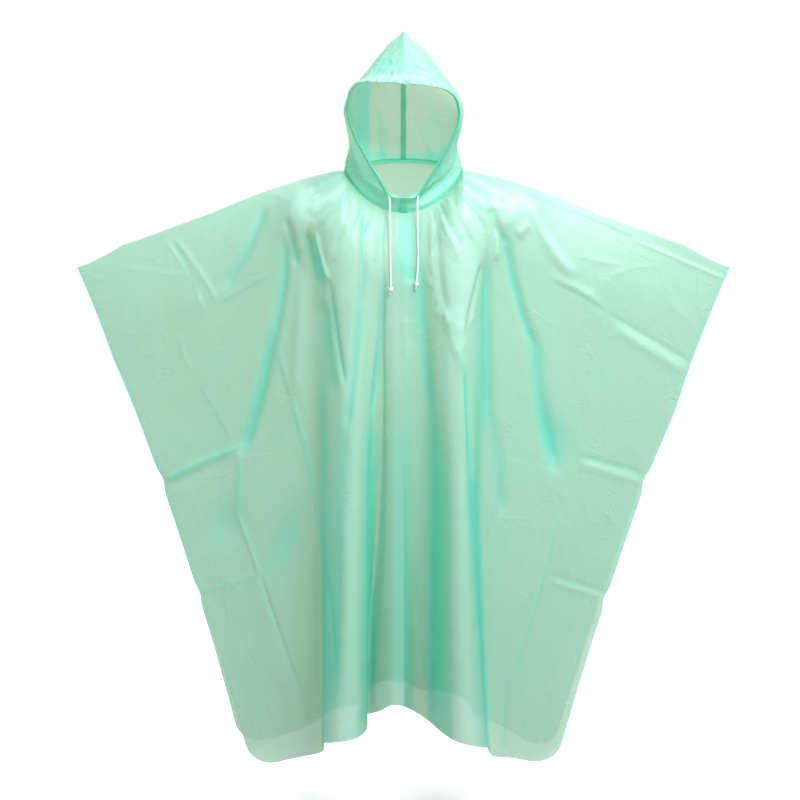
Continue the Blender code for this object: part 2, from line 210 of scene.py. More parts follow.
def braided(name, path, material):
    """A round braided tube along a path, closed at both ends, with its strands in relief."""
    length, reach = 0.0, [0.0]
    for here, after in zip(path, path[1:]):
        length += (after - here).length
        reach.append(length)
    rings = round(length / CORD_RING)
    points, spots, side = [], [], None
    for ring in range(rings + 1):
        far = length * ring / rings
        low = max(i for i in range(len(path) - 1) if reach[i] <= far + 1e-9)
        share = (far - reach[low]) / (reach[low + 1] - reach[low])
        middle = path[low].lerp(path[low + 1], share)
        ahead = (path[low + 1] - path[low]).normalized()
        side = ahead.orthogonal() if side is None else side - ahead * side.dot(ahead)
        side.normalize()
        across = ahead.cross(side)
        for k in range(CORD_AROUND):
            turn = math.tau * k / CORD_AROUND
            over = math.cos(BRAID_STRANDS / 2 * turn + math.tau * far / BRAID_PITCH)
            under = math.cos(BRAID_STRANDS / 2 * turn - math.tau * far / BRAID_PITCH)
            swell = 1 - BRAID_RELIEF + BRAID_RELIEF * 2 * max(over * over, under * under) ** 2
            radius = CORD_RADIUS * min(swell, 1.0 + BRAID_RELIEF)
            points.append(middle + (side * math.cos(turn) + across * math.sin(turn)) * radius)
            spots.append((turn * CORD_RADIUS, far))
    faces = []
    for ring in range(rings):
        for k in range(CORD_AROUND):
            a, b = ring * CORD_AROUND + k, ring * CORD_AROUND + (k + 1) % CORD_AROUND
            faces.append((a, b, b + CORD_AROUND, a + CORD_AROUND))
    last = rings * CORD_AROUND
    faces.append(tuple(range(CORD_AROUND))[::-1])
    faces.append(tuple(last + k for k in range(CORD_AROUND)))
    mesh = bpy.data.meshes.new(name)
    mesh.from_pydata([tuple(p) for p in points], [], faces)
    mesh.shade_smooth()
    layer = mesh.uv_layers.new(name="cord")
    for loop in mesh.loops:
        layer.data[loop.index].uv = spots[loop.vertex_index]
    mesh.materials.append(material)
    return put(name, mesh)


def cord_finish():
    """Bleached yarn: matt, a touch greyer in small random patches, with loose fibres."""
    finish = Finish("cord_white")
    place = finish.add("TexCoord", {}, {}, out="Object")
    yarn = finish.noise(place, 0.0009, detail=3)
    hair = finish.noise(place, 0.0003, detail=2)
    colour = finish.between(yarn, YARN_SHADE, YARN_WHITE)
    bump = finish.add("Bump", {}, {"Strength": 0.35, "Distance": 0.0002, "Height": hair})
    sockets = {"Base Color": colour, "Roughness": 0.82, "Sheen Weight": 0.3, "Normal": bump}
    return finish.close(finish.add("BsdfPrincipled", {}, sockets))


def barrel_knot(end):
    """The way the cord takes through its knot: down, round itself almost twice, and out below."""
    way = [(0, 0, KNOT_DROP), *KNOT_ENTRY]
    for step in range(KNOT_STEPS + 1):
        turn = math.pi * (0.25 + KNOT_TURN * step)
        share = 2 * step / KNOT_STEPS - 1
        out = KNOT_WRAP * (1 - KNOT_BARREL * abs(share))
        way.append((out * math.cos(turn), -out * math.sin(turn), 0.75 * KNOT_HEIGHT * share))
    way += [*KNOT_EXIT, (-0.0014, -0.0006, -KNOT_TAIL)]
    return np.array(way) + end - [0, 0, KNOT_DROP]


white_cord = cord_finish()
for side, route in (("left", CORD_LEFT), ("right", CORD_RIGHT)):
    line = through(route, 60)
    string = braided("string_" + side, line, white_cord)
    stopper = braided("stopper_" + side, through(barrel_knot(route[-1]), 150), white_cord)
    for piece, node in ((string, "drawstring_" + side), (stopper, "knot_" + side)):
        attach(piece, "root")
        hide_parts(node)

# ------------------------------------------------
# The front panel: one rectangle of film, 1.29 m across and 1.0 m long, scooped at the neck and
# rounded at its lower corners. It is welded to the back only round the neck and along the
# shoulders, so it falls from there in folds that open out towards the hem.
LEFT, RIGHT = -1, 1
FRONT, BACK = -1, 1
NECK_HALF_WIDTH = 0.110
NECK_HALF_DEPTH = 0.078
NECK_FRONT_DROP = 0.085
NECK_BACK_RISE = 0.025
NECK_SHARPNESS = 1.6
CORNER_RADIUS = 0.050
RIM_FROM = 0.603  # out from the centre, where the side edge's deeper line begins
RIM_WIDTH = 0.004
PANEL_LENGTH = 0.997
CHEST_SHARE = 0.17
SHOULDER_DROP = 0.115
FULL_ROUND = 0.09
SEAM_CLEARANCE = 0.0015
HELD_AT_SEAM = 0.02
SHOULDER_GAP = 0.0006
FILM_STEP = 0.0031
FILM_ROWS = 232
ROW_CROWDING = 1.15  # the rows lie closer towards the shoulder
LATTICE = 95  # waves of chance unevenness before they repeat
MINT = (0.46, 0.86, 0.74)
TEAL = (0.21, 0.84, 0.71)
GLOW = (0.56, 0.62, 0.48)
DEEP_GLOW = (0.20, 0.76, 0.62)
# the paler colour of the painted highlights on the shoulders, the chest and the brim
HIGHLIGHT_MINT = (0.56, 0.96, 0.86)
CLOUDS = 0.16
LONG_LINES = 0.13
SHORT_LINES = 0.020
WORN_PATCHES = 0.07
GRAIN = 0.0009
RELIEF = 0.001

Shoulder = namedtuple("Shoulder", "out height")
SHOULDER = [
    Shoulder(0.11, 0.0),
    Shoulder(0.139, -0.004),
    Shoulder(0.239, -0.032),
    Shoulder(0.368, -0.082),
    Shoulder(0.524, -0.138),
    Shoulder(0.611, -0.18),
]
Line = namedtuple("Line", "top middle hem chest fold foot")
FRONT_LEFT = [
    Line(0.0, 0.0, 0.0, 0.114, 0.072, 0.991),
    Line(0.02, 0.016, 0.02, 0.115, 0.075, 0.988),
    Line(0.037, 0.03, 0.046, 0.114, 0.058, 1.002),
    Line(0.048, 0.042, 0.084, 0.114, 0.026, 1.018),
    Line(0.06, 0.06, 0.065, 0.119, 0.1, 1.023),
    Line(0.078, 0.082, 0.084, 0.123, 0.17, 1.034),
    Line(0.1, 0.108, 0.121, 0.119, 0.178, 1.04),
    Line(0.135, 0.138, 0.147, 0.106, 0.122, 1.051),
    Line(0.175, 0.158, 0.146, 0.08, 0.052, 1.073),
    Line(0.215, 0.188, 0.158, 0.068, 0.04, 1.082),
    Line(0.31, 0.262, 0.196, 0.04, 0.034, 1.091),
    Line(0.455, 0.345, 0.24, 0.018, 0.022, 1.103),
    Line(0.61, 0.428, 0.281, 0.006, 0.014, 1.118),
]
FRONT_RIGHT = [
    Line(0.0, 0.0, 0.0, 0.114, 0.072, 0.991),
    Line(0.02, 0.022, 0.02, 0.113, 0.026, 1.007),
    Line(0.044, 0.046, 0.046, 0.113, 0.034, 1.022),
    Line(0.062, 0.064, 0.066, 0.119, 0.108, 1.029),
    Line(0.082, 0.086, 0.09, 0.123, 0.176, 1.036),
    Line(0.106, 0.108, 0.12, 0.118, 0.186, 1.045),
    Line(0.138, 0.128, 0.148, 0.104, 0.138, 1.056),
    Line(0.172, 0.144, 0.155, 0.082, 0.066, 1.074),
    Line(0.214, 0.172, 0.167, 0.07, 0.046, 1.087),
    Line(0.31, 0.256, 0.203, 0.042, 0.036, 1.092),
    Line(0.455, 0.342, 0.243, 0.018, 0.022, 1.102),
    Line(0.61, 0.43, 0.281, 0.006, 0.014, 1.116),
]

# Creases, each from one end to the other as seen from the front: where it starts and ends, how far
# it bows to its left on the way, its half width, how far it stands proud (or sinks in), how sharp
# it is, from 0, a soft roll, to 1, a pressed line, and how much deeper (or paler) it is in colour.
# The deeper colour is partly painted shade in the grooves; the paler colour is a painted highlight.
Crease = namedtuple("Crease", "x z to_x to_z bow wide rise sharp tint")
FRONT_CREASES = [
    # pleats that run down from the neck seam, with painted shade in their grooves and a painted
    # highlight on a few ridges
    Crease(-0.071, -0.09, -0.078, -0.26, 0.0, 0.0075, -0.005, 0.0, 0.42),
    Crease(-0.078, -0.25, -0.104, -0.48, 0.003, 0.0085, -0.006, 0.0, 0.55),
    Crease(-0.112, -0.44, -0.134, -0.98, 0.004, 0.019, -0.005, 0.0, 0.5),
    Crease(-0.035, -0.19, -0.057, -0.45, 0.003, 0.0055, -0.004, 0.2, 0.6),
    Crease(-0.057, -0.44, -0.061, -1.02, 0.0, 0.0055, -0.003, 0.2, 0.75),
    Crease(0.0, -0.092, -0.002, -0.96, 0.001, 0.0038, 0.0016, 0.8, 0.12),
    Crease(0.011, -0.085, 0.016, -0.215, 0.0, 0.017, -0.003, 0.0, 0.42),
    Crease(-0.006, -0.45, -0.006, -0.98, 0.0, 0.014, -0.001, 0.0, 0.42),
    Crease(0.018, -0.19, 0.024, -0.33, 0.0, 0.012, -0.002, 0.0, 0.3),
    Crease(0.033, -0.18, 0.047, -0.45, -0.003, 0.0085, -0.006, 0.0, 0.55),
    Crease(0.047, -0.44, 0.052, -0.99, 0.002, 0.016, -0.004, 0.0, 0.45),
    Crease(0.062, -0.11, 0.08, -0.27, -0.004, 0.007, -0.003, 0.0, 0.3),
    Crease(0.075, -0.26, 0.112, -0.385, -0.004, 0.0065, 0.0018, 0.2, 0.2),
    Crease(0.112, -0.37, 0.122, -0.56, 0.0, 0.0055, -0.0045, 0.4, 0.65),
    Crease(0.122, -0.55, 0.147, -0.9, 0.003, 0.009, -0.003, 0.1, 0.6),
    Crease(0.147, -0.89, 0.156, -1.04, 0.0, 0.008, -0.003, 0.1, 0.5),
    Crease(-0.092, -0.06, -0.12, -0.15, 0.003, 0.0055, -0.0025, 0.2, 0.25),
    Crease(-0.1, -0.04, -0.16, -0.1, 0.004, 0.005, -0.0025, 0.2, 0.25),
    Crease(-0.05, -0.105, -0.053, -0.18, 0.0, 0.0045, 0.002, 0.2, 0.1),
    Crease(0.048, -0.1, 0.052, -0.17, 0.0, 0.0045, 0.002, 0.2, -0.1),
    Crease(0.094, -0.062, 0.118, -0.15, -0.003, 0.005, -0.0025, 0.2, 0.15),
    Crease(0.102, -0.04, 0.158, -0.095, -0.004, 0.005, -0.0025, 0.2, 0.15),
    Crease(0.07, -0.09, 0.112, -0.2, -0.002, 0.004, 0.002, 0.5, -0.2),
    # the armholes, where the film turns from the chest to the arms, with a painted highlight on the
    # ridge and painted shade beneath it
    Crease(-0.151, -0.125, -0.136, -0.206, -0.002, 0.0034, 0.006, 0.3, -1.3),
    Crease(-0.17, -0.124, -0.151, -0.216, 0.0, 0.009, -0.011, 0.0, 0.75),
    Crease(-0.138, -0.208, -0.128, -0.21, 0.0, 0.0034, 0.003, 0.3, 0.5),
    Crease(-0.134, -0.212, -0.106, -0.4, -0.004, 0.006, -0.006, 0.6, 0.5),
    Crease(-0.15, -0.25, -0.132, -0.42, 0.0, 0.014, -0.006, 0.0, 0.3),
    Crease(-0.208, -0.1, -0.196, -0.18, 0.0, 0.007, -0.008, 0.2, 0.45),
    Crease(-0.215, -0.13, -0.245, -0.33, 0.005, 0.009, -0.007, 0.0, 0.55),
    Crease(-0.245, -0.31, -0.3, -0.525, 0.006, 0.011, -0.008, 0.0, 0.75),
    Crease(-0.258, -0.07, -0.335, -0.22, 0.006, 0.011, -0.005, 0.0, 0.4),
    Crease(-0.182, -0.2, -0.2, -0.42, 0.0, 0.011, 0.005, 0.0, -0.1),
    Crease(0.152, -0.175, 0.156, -0.47, 0.0, 0.0085, -0.007, 0.0, 0.6),
    Crease(0.156, -0.45, 0.18, -0.64, 0.003, 0.012, -0.004, 0.0, 0.3),
    Crease(0.141, -0.178, 0.112, -0.31, -0.004, 0.0045, -0.0045, 0.6, 0.4),
    Crease(0.156, -0.075, 0.186, -0.14, -0.003, 0.0065, -0.006, 0.1, 0.45),
    Crease(0.186, -0.125, 0.242, -0.33, -0.006, 0.008, -0.007, 0.0, 0.65),
    Crease(0.242, -0.31, 0.285, -0.56, -0.008, 0.013, -0.006, 0.0, 0.6),
    Crease(0.168, -0.12, 0.17, -0.17, 0.0, 0.005, 0.006, 0.3, -0.6),
    Crease(0.232, -0.066, 0.312, -0.196, -0.006, 0.012, 0.008, 0.0, -0.6),
    Crease(0.205, -0.125, 0.228, -0.105, 0.0, 0.008, 0.005, 0.3, -0.5),
    # pressed lines from the packet, some with a paler painted highlight on a strip beside them
    Crease(-0.45, -0.577, -0.31, -0.518, 0.0, 0.0058, 0.0045, 0.8, 0.75),
    Crease(-0.445, -0.594, -0.33, -0.546, 0.0, 0.008, -0.0008, 0.2, -0.08),
    Crease(-0.383, -0.787, -0.264, -0.752, 0.0, 0.0043, 0.0012, 0.8, 0.2),
    Crease(0.322, -0.53, 0.454, -0.566, 0.0, 0.0041, -0.0015, 0.7, 0.32),
    Crease(0.328, -0.545, 0.452, -0.582, 0.0, 0.007, 0.0021, 0.3, -0.33),
    Crease(0.15, -0.515, 0.3, -0.56, 0.0, 0.0034, -0.0008, 0.8, 0.14),
    Crease(0.268, -0.752, 0.38, -0.786, 0.0, 0.0038, -0.0013, 0.7, 0.27),
    Crease(0.272, -0.764, 0.378, -0.797, 0.0, 0.0043, 0.0017, 0.4, -0.25),
    Crease(-0.443, -0.129, -0.372, -0.258, 0.006, 0.0034, 0.0026, 0.7, -0.42),
    Crease(-0.434, -0.129, -0.384, -0.235, 0.004, 0.005, -0.002, 0.1, 0.28),
    Crease(-0.424, -0.129, -0.344, -0.247, 0.004, 0.0034, 0.0024, 0.7, -0.36),
    Crease(-0.344, -0.246, -0.236, -0.19, 0.0, 0.0034, 0.0016, 0.7, 0.18),
    Crease(-0.52, -0.182, -0.4, -0.196, 0.0, 0.0051, 0.0008, 0.4, -0.08),
    Crease(-0.42, -0.305, -0.398, -0.372, 0.0, 0.0041, 0.001, 0.6, -0.08),
    Crease(-0.376, -0.4, -0.318, -0.5, 0.0, 0.0038, 0.0009, 0.7, 0.09),
    Crease(0.198, -0.034, 0.435, -0.131, 0.004, 0.0034, -0.0017, 0.8, 0.27),
    Crease(0.43, -0.129, 0.603, -0.203, 0.0, 0.0034, 0.0017, 0.8, -0.28),
    Crease(0.277, -0.212, 0.372, -0.262, 0.003, 0.0038, -0.0019, 0.7, 0.27),
    Crease(0.275, -0.2, 0.366, -0.25, 0.003, 0.009, 0.0021, 0.1, -0.19),
    Crease(0.325, -0.16, 0.41, -0.175, -0.003, 0.0038, 0.0015, 0.6, -0.14),
    Crease(0.335, -0.24, 0.412, -0.182, 0.0, 0.0036, 0.0013, 0.7, -0.14),
    Crease(0.37, -0.262, 0.542, -0.361, 0.0, 0.0036, -0.0017, 0.7, 0.2),
    Crease(0.392, -0.292, 0.532, -0.378, 0.0, 0.011, 0.0025, 0.1, -0.3),
    # long slack lines across the sides
    Crease(-0.306, -0.525, -0.31, -0.65, 0.004, 0.0065, 0.0018, 0.6, 0.18),
    Crease(-0.31, -0.64, -0.268, -0.755, 0.002, 0.0047, 0.0024, 0.7, 0.12),
    Crease(-0.268, -0.75, -0.15, -1.075, -0.003, 0.0044, -0.0027, 0.7, 0.12),
    Crease(-0.232, -0.33, -0.208, -0.42, 0.0, 0.0036, 0.0018, 0.7, 0.23),
    Crease(-0.208, -0.42, -0.15, -0.69, 0.006, 0.0043, 0.0021, 0.7, 0.32),
    Crease(-0.15, -0.69, -0.128, -0.91, 0.003, 0.0043, -0.0021, 0.7, 0.32),
    Crease(0.194, -0.515, 0.15, -0.68, 0.003, 0.0043, 0.0024, 0.7, 0.23),
    Crease(0.29, -0.64, 0.2, -0.95, 0.003, 0.0043, 0.0019, 0.7, 0.2),
    Crease(0.2, -0.94, 0.186, -1.07, 0.0, 0.0043, 0.0021, 0.7, 0.25),
    Crease(0.02, -0.7, 0.048, -0.96, -0.004, 0.0043, 0.0015, 0.5, 0.18),
    Crease(-0.026, -0.61, -0.002, -0.596, 0.0, 0.0034, 0.0012, 0.6, -0.1),
    Crease(0.13, -0.85, 0.16, -0.88, 0.0, 0.0034, 0.0015, 0.6, -0.14),
    Crease(-0.082, -0.93, -0.072, -1.02, 0.0, 0.0038, 0.0018, 0.5, -0.1),
]

# Small pleats that spread from the neck seam: how far round the neck in degrees (left is less than
# nothing), length, which way they run in degrees from straight down, half width, rise and tint,
# which is painted shade where it is deeper and a painted highlight where it is paler.
Pleat = namedtuple("Pleat", "turn length lean wide rise tint")
PLEATS = [
    Pleat(-80, 0.072, -66, 0.0034, 0.002, 0.45),
    Pleat(-72, 0.094, -55, 0.003, -0.0018, 0.52),
    Pleat(-63, 0.088, -47, 0.0036, 0.0022, -0.45),
    Pleat(-55, 0.104, -36, 0.003, -0.002, 0.52),
    Pleat(-47, 0.07, -30, 0.0028, 0.0016, -0.38),
    Pleat(-40, 0.082, -20, 0.0032, -0.0018, 0.45),
    Pleat(-30, 0.056, -14, 0.0028, 0.0014, 0.3),
    Pleat(-18, 0.064, -6, 0.003, -0.0016, 0.38),
    Pleat(-7, 0.04, -2, 0.0026, 0.0012, -0.3),
    Pleat(12, 0.058, 4, 0.003, -0.0014, 0.52),
    Pleat(24, 0.05, 12, 0.0028, 0.0014, -0.38),
    Pleat(35, 0.086, 22, 0.0032, -0.0018, 0.45),
    Pleat(44, 0.066, 30, 0.003, 0.0016, -0.52),
    Pleat(52, 0.098, 38, 0.0034, -0.002, 0.52),
    Pleat(61, 0.076, 48, 0.0028, 0.0018, -0.52),
    Pleat(68, 0.096, 56, 0.0032, -0.002, 0.45),
    Pleat(76, 0.07, 64, 0.003, 0.002, -0.45),
]

# Soft swellings, where the film stands off the shoulders and the chest: middle, half width and
# half height, how far it leans over clockwise in degrees, how far it stands proud, its tint, and
# how ragged its edge is. A tint below nothing paints a highlight on the swelling; one above
# nothing paints shade in a hollow.
Swell = namedtuple("Swell", "x z wide tall lean rise tint ragged", defaults=(0.0,))
FRONT_SWELLS = [
    Swell(-0.18, -0.092, 0.042, 0.05, 20, 0.024, -0.45),
    Swell(-0.11, -0.15, 0.038, 0.07, -5, 0.008, -0.1),
    Swell(0.116, -0.12, 0.04, 0.06, -15, 0.014, -0.3),
    Swell(0.2, -0.08, 0.04, 0.04, -35, 0.02, -0.6),
    Swell(0.1, -0.21, 0.035, 0.05, -10, 0.008, -0.25),
    Swell(-0.02, -0.33, 0.03, 0.08, 0, 0.003, -0.15),
    Swell(0.07, -0.4, 0.018, 0.11, -4, 0.002, -0.2),
    Swell(-0.22, -0.69, 0.025, 0.06, 20, -0.006, 0.35),
    Swell(-0.335, -0.66, 0.03, 0.04, 25, -0.006, 0.3),
    Swell(0.285, -0.5, 0.025, 0.05, -20, -0.004, 0.35),
    Swell(-0.11, -0.66, 0.014, 0.2, -3, 0.002, -0.2),
    Swell(-0.176, -0.082, 0.026, 0.036, 15, 0.001, -0.35, 0.5),
    Swell(-0.12, -0.13, 0.022, 0.046, 10, 0.001, -0.05, 0.4),
    Swell(0.112, -0.14, 0.036, 0.062, -10, 0.001, -0.2, 0.4),
    Swell(0.212, -0.078, 0.034, 0.026, -30, 0.001, -0.45, 0.5),
    Swell(0.16, -0.06, 0.026, 0.022, -20, 0.001, -0.2, 0.5),
    Swell(0.016, -0.315, 0.02, 0.04, 0, 0.001, -0.1, 0.6),
    Swell(0.096, -0.3, 0.016, 0.05, -8, 0.001, -0.22, 0.6),
    Swell(0.088, -0.215, 0.04, 0.09, -8, 0.002, -0.4, 0.3),
    Swell(-0.105, -0.18, 0.034, 0.08, 8, 0.001, -0.15, 0.3),
    Swell(-0.2, -0.045, 0.05, 0.022, 20, 0.001, -0.25, 0.4),
    Swell(0.074, -0.14, 0.02, 0.05, -8, 0.001, -0.35, 0.3),
    Swell(-0.002, -0.155, 0.013, 0.07, 0, 0.001, 0.35),
]

# Nicks in the two side edges, where the pressed lines reach them: height, depth and half height
Nick = namedtuple("Nick", "z depth tall")
NICK_FROM, NICK_REACH = 0.42, 0.19  # out from the centre, where the film starts to give way
RUN_OUT = 0.22  # of its length, over which a crease fades at each end
NICKS = {
    LEFT: [Nick(-0.577, 0.0055, 0.016), Nick(-0.79, 0.004, 0.014), Nick(-0.35, -0.003, 0.06)],
    RIGHT: [Nick(-0.578, 0.006, 0.018), Nick(-0.798, 0.005, 0.014), Nick(-0.45, -0.004, 0.06)],
}


def between(first, second, share):
    """What lies a share of the way from the first to the second."""
    return first + (second - first) * share


def read_rows(rows, at):
    """Each column of a table by its name, read at many places."""
    return dict(zip(rows[0]._fields, smooth(rows, at).T))


def neck_edge(turn):
    """The neck hole's edge, from 0 at the front round to pi at the back."""
    swing = np.cos(turn)
    depth = np.where(swing > 0, -NECK_FRONT_DROP, NECK_BACK_RISE)
    rise = depth * np.abs(swing) ** NECK_SHARPNESS
    return np.stack([NECK_HALF_WIDTH * np.sin(turn), -NECK_HALF_DEPTH * swing, rise], axis=-1)


def shoulder_line(out):
    """How high the shoulder line is at distances out from the centre."""
    outs = np.array([stop.out for stop in SHOULDER])
    low = np.clip(np.searchsorted(outs, out, side="right") - 1, 0, len(outs) - 2)
    share = (out - outs[low]) / (outs[low + 1] - outs[low])
    return read_rows(SHOULDER, np.clip(low + share, 0, len(outs) - 1))["height"]


def even_stops(lines):
    """Places along a half's table that lie evenly across the cloth."""
    fine = np.linspace(0, len(lines) - 1, 2400)
    read = read_rows(lines, fine)
    top, middle, hem, fold = read["top"], read["middle"], read["hem"], read["fold"]
    reach = [np.diff(x) ** 2 for x in (top, middle, hem, fold * 0.7)]
    walked = np.concatenate([[0], np.cumsum(np.sqrt(sum(reach) / 3))])
    count = int(walked[-1] / FILM_STEP)
    return np.interp(np.linspace(0, walked[-1], count + 1), walked, fine)


def half_drape(lines, side, face):
    """Half a panel as a grid of points, with the place of each point on the flat cut."""
    read = read_rows(lines, even_stops(lines))
    top = np.maximum(read["top"], 0)
    turn = np.arcsin(np.minimum(top / NECK_HALF_WIDTH, 1))
    neck = neck_edge(turn if face == FRONT else math.pi - turn)
    away = neck * [1, 1, 0]
    away = away / np.linalg.norm(away, axis=-1, keepdims=True)
    start = neck + away * SEAM_CLEARANCE
    shoulder = np.stack([top, np.full_like(top, face * SHOULDER_GAP), shoulder_line(top)], axis=-1)
    start = np.where((top < NECK_HALF_WIDTH)[:, None], start, shoulder)
    corner = np.clip(1 - (lines[-1].hem - read["hem"]) / CORNER_RADIUS, 0, 1)
    reach = 1 - CORNER_RADIUS * (1 - np.sqrt(1 - corner**2)) / PANEL_LENGTH
    share = np.linspace(0, 1, FILM_ROWS)[:, None] ** ROW_CROWDING * reach
    x = start[:, 0] * (1 - share) * (1 - 2 * share) + read["hem"] * share * (2 * share - 1)
    x = x + read["middle"] * 4 * share * (1 - share)
    chest, fold = face * read["chest"], face * read["fold"]
    rounded = np.minimum(1, np.abs(chest - start[:, 1]) / FULL_ROUND)
    quarter = math.pi / 2 * np.minimum(share / CHEST_SHARE, 1)
    lower = np.clip((share - CHEST_SHARE) / (1 - CHEST_SHARE), 0, 1)
    over = share < CHEST_SHARE
    y = np.where(over, between(start[:, 1], chest, np.sin(quarter)), between(chest, fold, lower))
    steep = np.where(over, SHOULDER_DROP * (1 - np.cos(quarter)), between(SHOULDER_DROP, 1, lower))
    z = between(start[:, 2], -read["foot"], between(share, steep, rounded))
    flat = np.stack(np.broadcast_arrays(side * top, -PANEL_LENGTH * share), axis=-1)
    return np.stack([side * x, y, z], axis=-1), flat


def outward(grid):
    """The direction that the cloth faces at each point of a grid."""
    down, over = np.gradient(grid, axis=0), np.gradient(grid, axis=1)
    normal = np.cross(down, over)
    return normal / np.maximum(np.linalg.norm(normal, axis=-1, keepdims=True), 1e-12)


def soft_step(value):
    """A smooth rise from 0 to 1."""
    value = np.clip(value, 0, 1)
    return value * value * (3 - 2 * value)


def creased(grid, creases):
    """How far the creases lift each point, and how much deeper they make the colour there: painted
    shade in the grooves, or a painted highlight where the tint is below nothing.
    """
    lift, tint = np.zeros(grid.shape[:2]), np.zeros(grid.shape[:2])
    for c in creases:
        ahead = np.array([c.to_x - c.x, c.to_z - c.z])
        length = np.linalg.norm(ahead)
        ahead /= length
        along = ((grid[..., 0] - c.x) * ahead[0] + (grid[..., 2] - c.z) * ahead[1]) / length
        off = (grid[..., 0] - c.x) * -ahead[1] + (grid[..., 2] - c.z) * ahead[0]
        off = np.abs(off - 4 * c.bow * along * (1 - along)) / c.wide
        profile = (1 - c.sharp) * np.exp(-off * off) + c.sharp * np.exp(-off * 1.4)
        ends = soft_step(along / RUN_OUT + 0.3) * soft_step((1 - along) / RUN_OUT + 0.3)
        lift += c.rise * profile * ends
        tint += c.tint * profile * ends
    return lift, tint


def neck_pleats(face):
    """The small pleats of one panel, ready to be pressed in as creases."""
    rows = []
    for pleat in PLEATS:
        turn, lean = math.radians(abs(pleat.turn)), math.radians(pleat.lean)
        x, _, z = neck_edge(np.array([turn if face == FRONT else math.pi - turn]))[0]
        x, z = x * (LEFT if pleat.turn < 0 else RIGHT) * 1.02, z - 0.004
        to_x, to_z = x + pleat.length * math.sin(lean), z - pleat.length * math.cos(lean)
        rows.append(Crease(x, z, to_x, to_z, 0.002, pleat.wide, pleat.rise, 0.4, pleat.tint))
    return rows


def swollen(grid, swells):
    """How far the swellings lift each point, and how much paler (a painted highlight) or deeper
    (painted shade) they make the film there.
    """
    lift, tint = np.zeros(grid.shape[:2]), np.zeros(grid.shape[:2])
    for s in swells:
        lean = math.radians(s.lean)
        x, z = grid[..., 0] - s.x, grid[..., 2] - s.z
        across = (x * math.cos(lean) - z * math.sin(lean)) / s.wide
        upward = (x * math.sin(lean) + z * math.cos(lean)) / s.tall
        bulge = np.exp(-(across**2 + upward**2))
        if s.ragged:
            spot = np.stack([x, z], axis=-1)
            frayed = rumple(spot, 0.013, 77) + 0.5 * rumple(spot, 0.005, 78)
            bulge = soft_step((1.15 - np.hypot(across, upward) - s.ragged * 0.5 * frayed) / 0.3)
        lift += s.rise * bulge
        tint += s.tint * bulge
    return lift, tint


def rumple(flat, size, seed):
    """Gentle unevenness from -1 to 1 over the flat cut, whose waves are about as long as size."""
    draw = np.random.default_rng(seed)
    lattice = draw.uniform(-1, 1, (LATTICE + 1, LATTICE + 1))
    across, down = flat[..., 0] / size + 40, flat[..., 1] / size + 40
    i, j = np.floor(across).astype(int) % LATTICE, np.floor(down).astype(int) % LATTICE
    s, t = soft_step(across % 1), soft_step(down % 1)
    upper = between(lattice[i, j], lattice[i + 1, j], s)
    lower = between(lattice[i, j + 1], lattice[i + 1, j + 1], s)
    return between(upper, lower, t)


def crumpled(flat, size, seed):
    """Sharp little ridges about a level of 0, as film keeps them once it has been folded small."""
    wander = [rumple(flat, size, seed + 1), rumple(flat, size, seed + 2)]
    slant = flat + 0.35 * size * np.stack(wander, axis=-1)
    return (1 - np.abs(rumple(slant, size, seed))) ** 3 - 0.3


def fold_tint(grid):
    """How nearly the film stands edge on to the front, where its colour gathers."""
    normal = outward(grid)
    sideways = np.abs(normal[..., 0]) / np.maximum(np.hypot(normal[..., 0], normal[..., 1]), 1e-9)
    upright = 1 - np.abs(normal[..., 2])
    return soft_step((sideways - 0.72) / 0.28) * upright


def film_piece(name, grid, flat, tint, material, close=False):
    """A sheet of film one layer thick, from a grid of points."""
    down, across = grid.shape[:2]
    index = np.arange(down * across).reshape(down, across)
    a, b, c, d = index[:-1, :-1], index[1:, :-1], index[1:, 1:], index[:-1, 1:]
    faces = np.stack([a, b, c, d], axis=-1).reshape(-1, 4)
    if close:
        a, b, c, d = index[:-1, -1], index[1:, -1], index[1:, 0], index[:-1, 0]
        faces = np.concatenate([faces, np.stack([a, b, c, d], axis=-1)])
    mesh = bpy.data.meshes.new(name)
    mesh.from_pydata(grid.reshape(-1, 3).tolist(), [], faces.tolist())
    mesh.shade_smooth()
    spots = flat.reshape(-1, 2)[faces.reshape(-1)]
    mesh.uv_layers.new(name="cut").data.foreach_set("uv", spots.reshape(-1))
    # the fold attribute holds how deep the colour is: deeper colour that is partly painted shade,
    # or, below nothing, a painted highlight
    layer = mesh.attributes.new("fold", "FLOAT", "POINT")
    layer.data.foreach_set("value", np.clip(tint, -1, 1).reshape(-1))
    mesh.materials.append(material)
    return put(name, mesh)


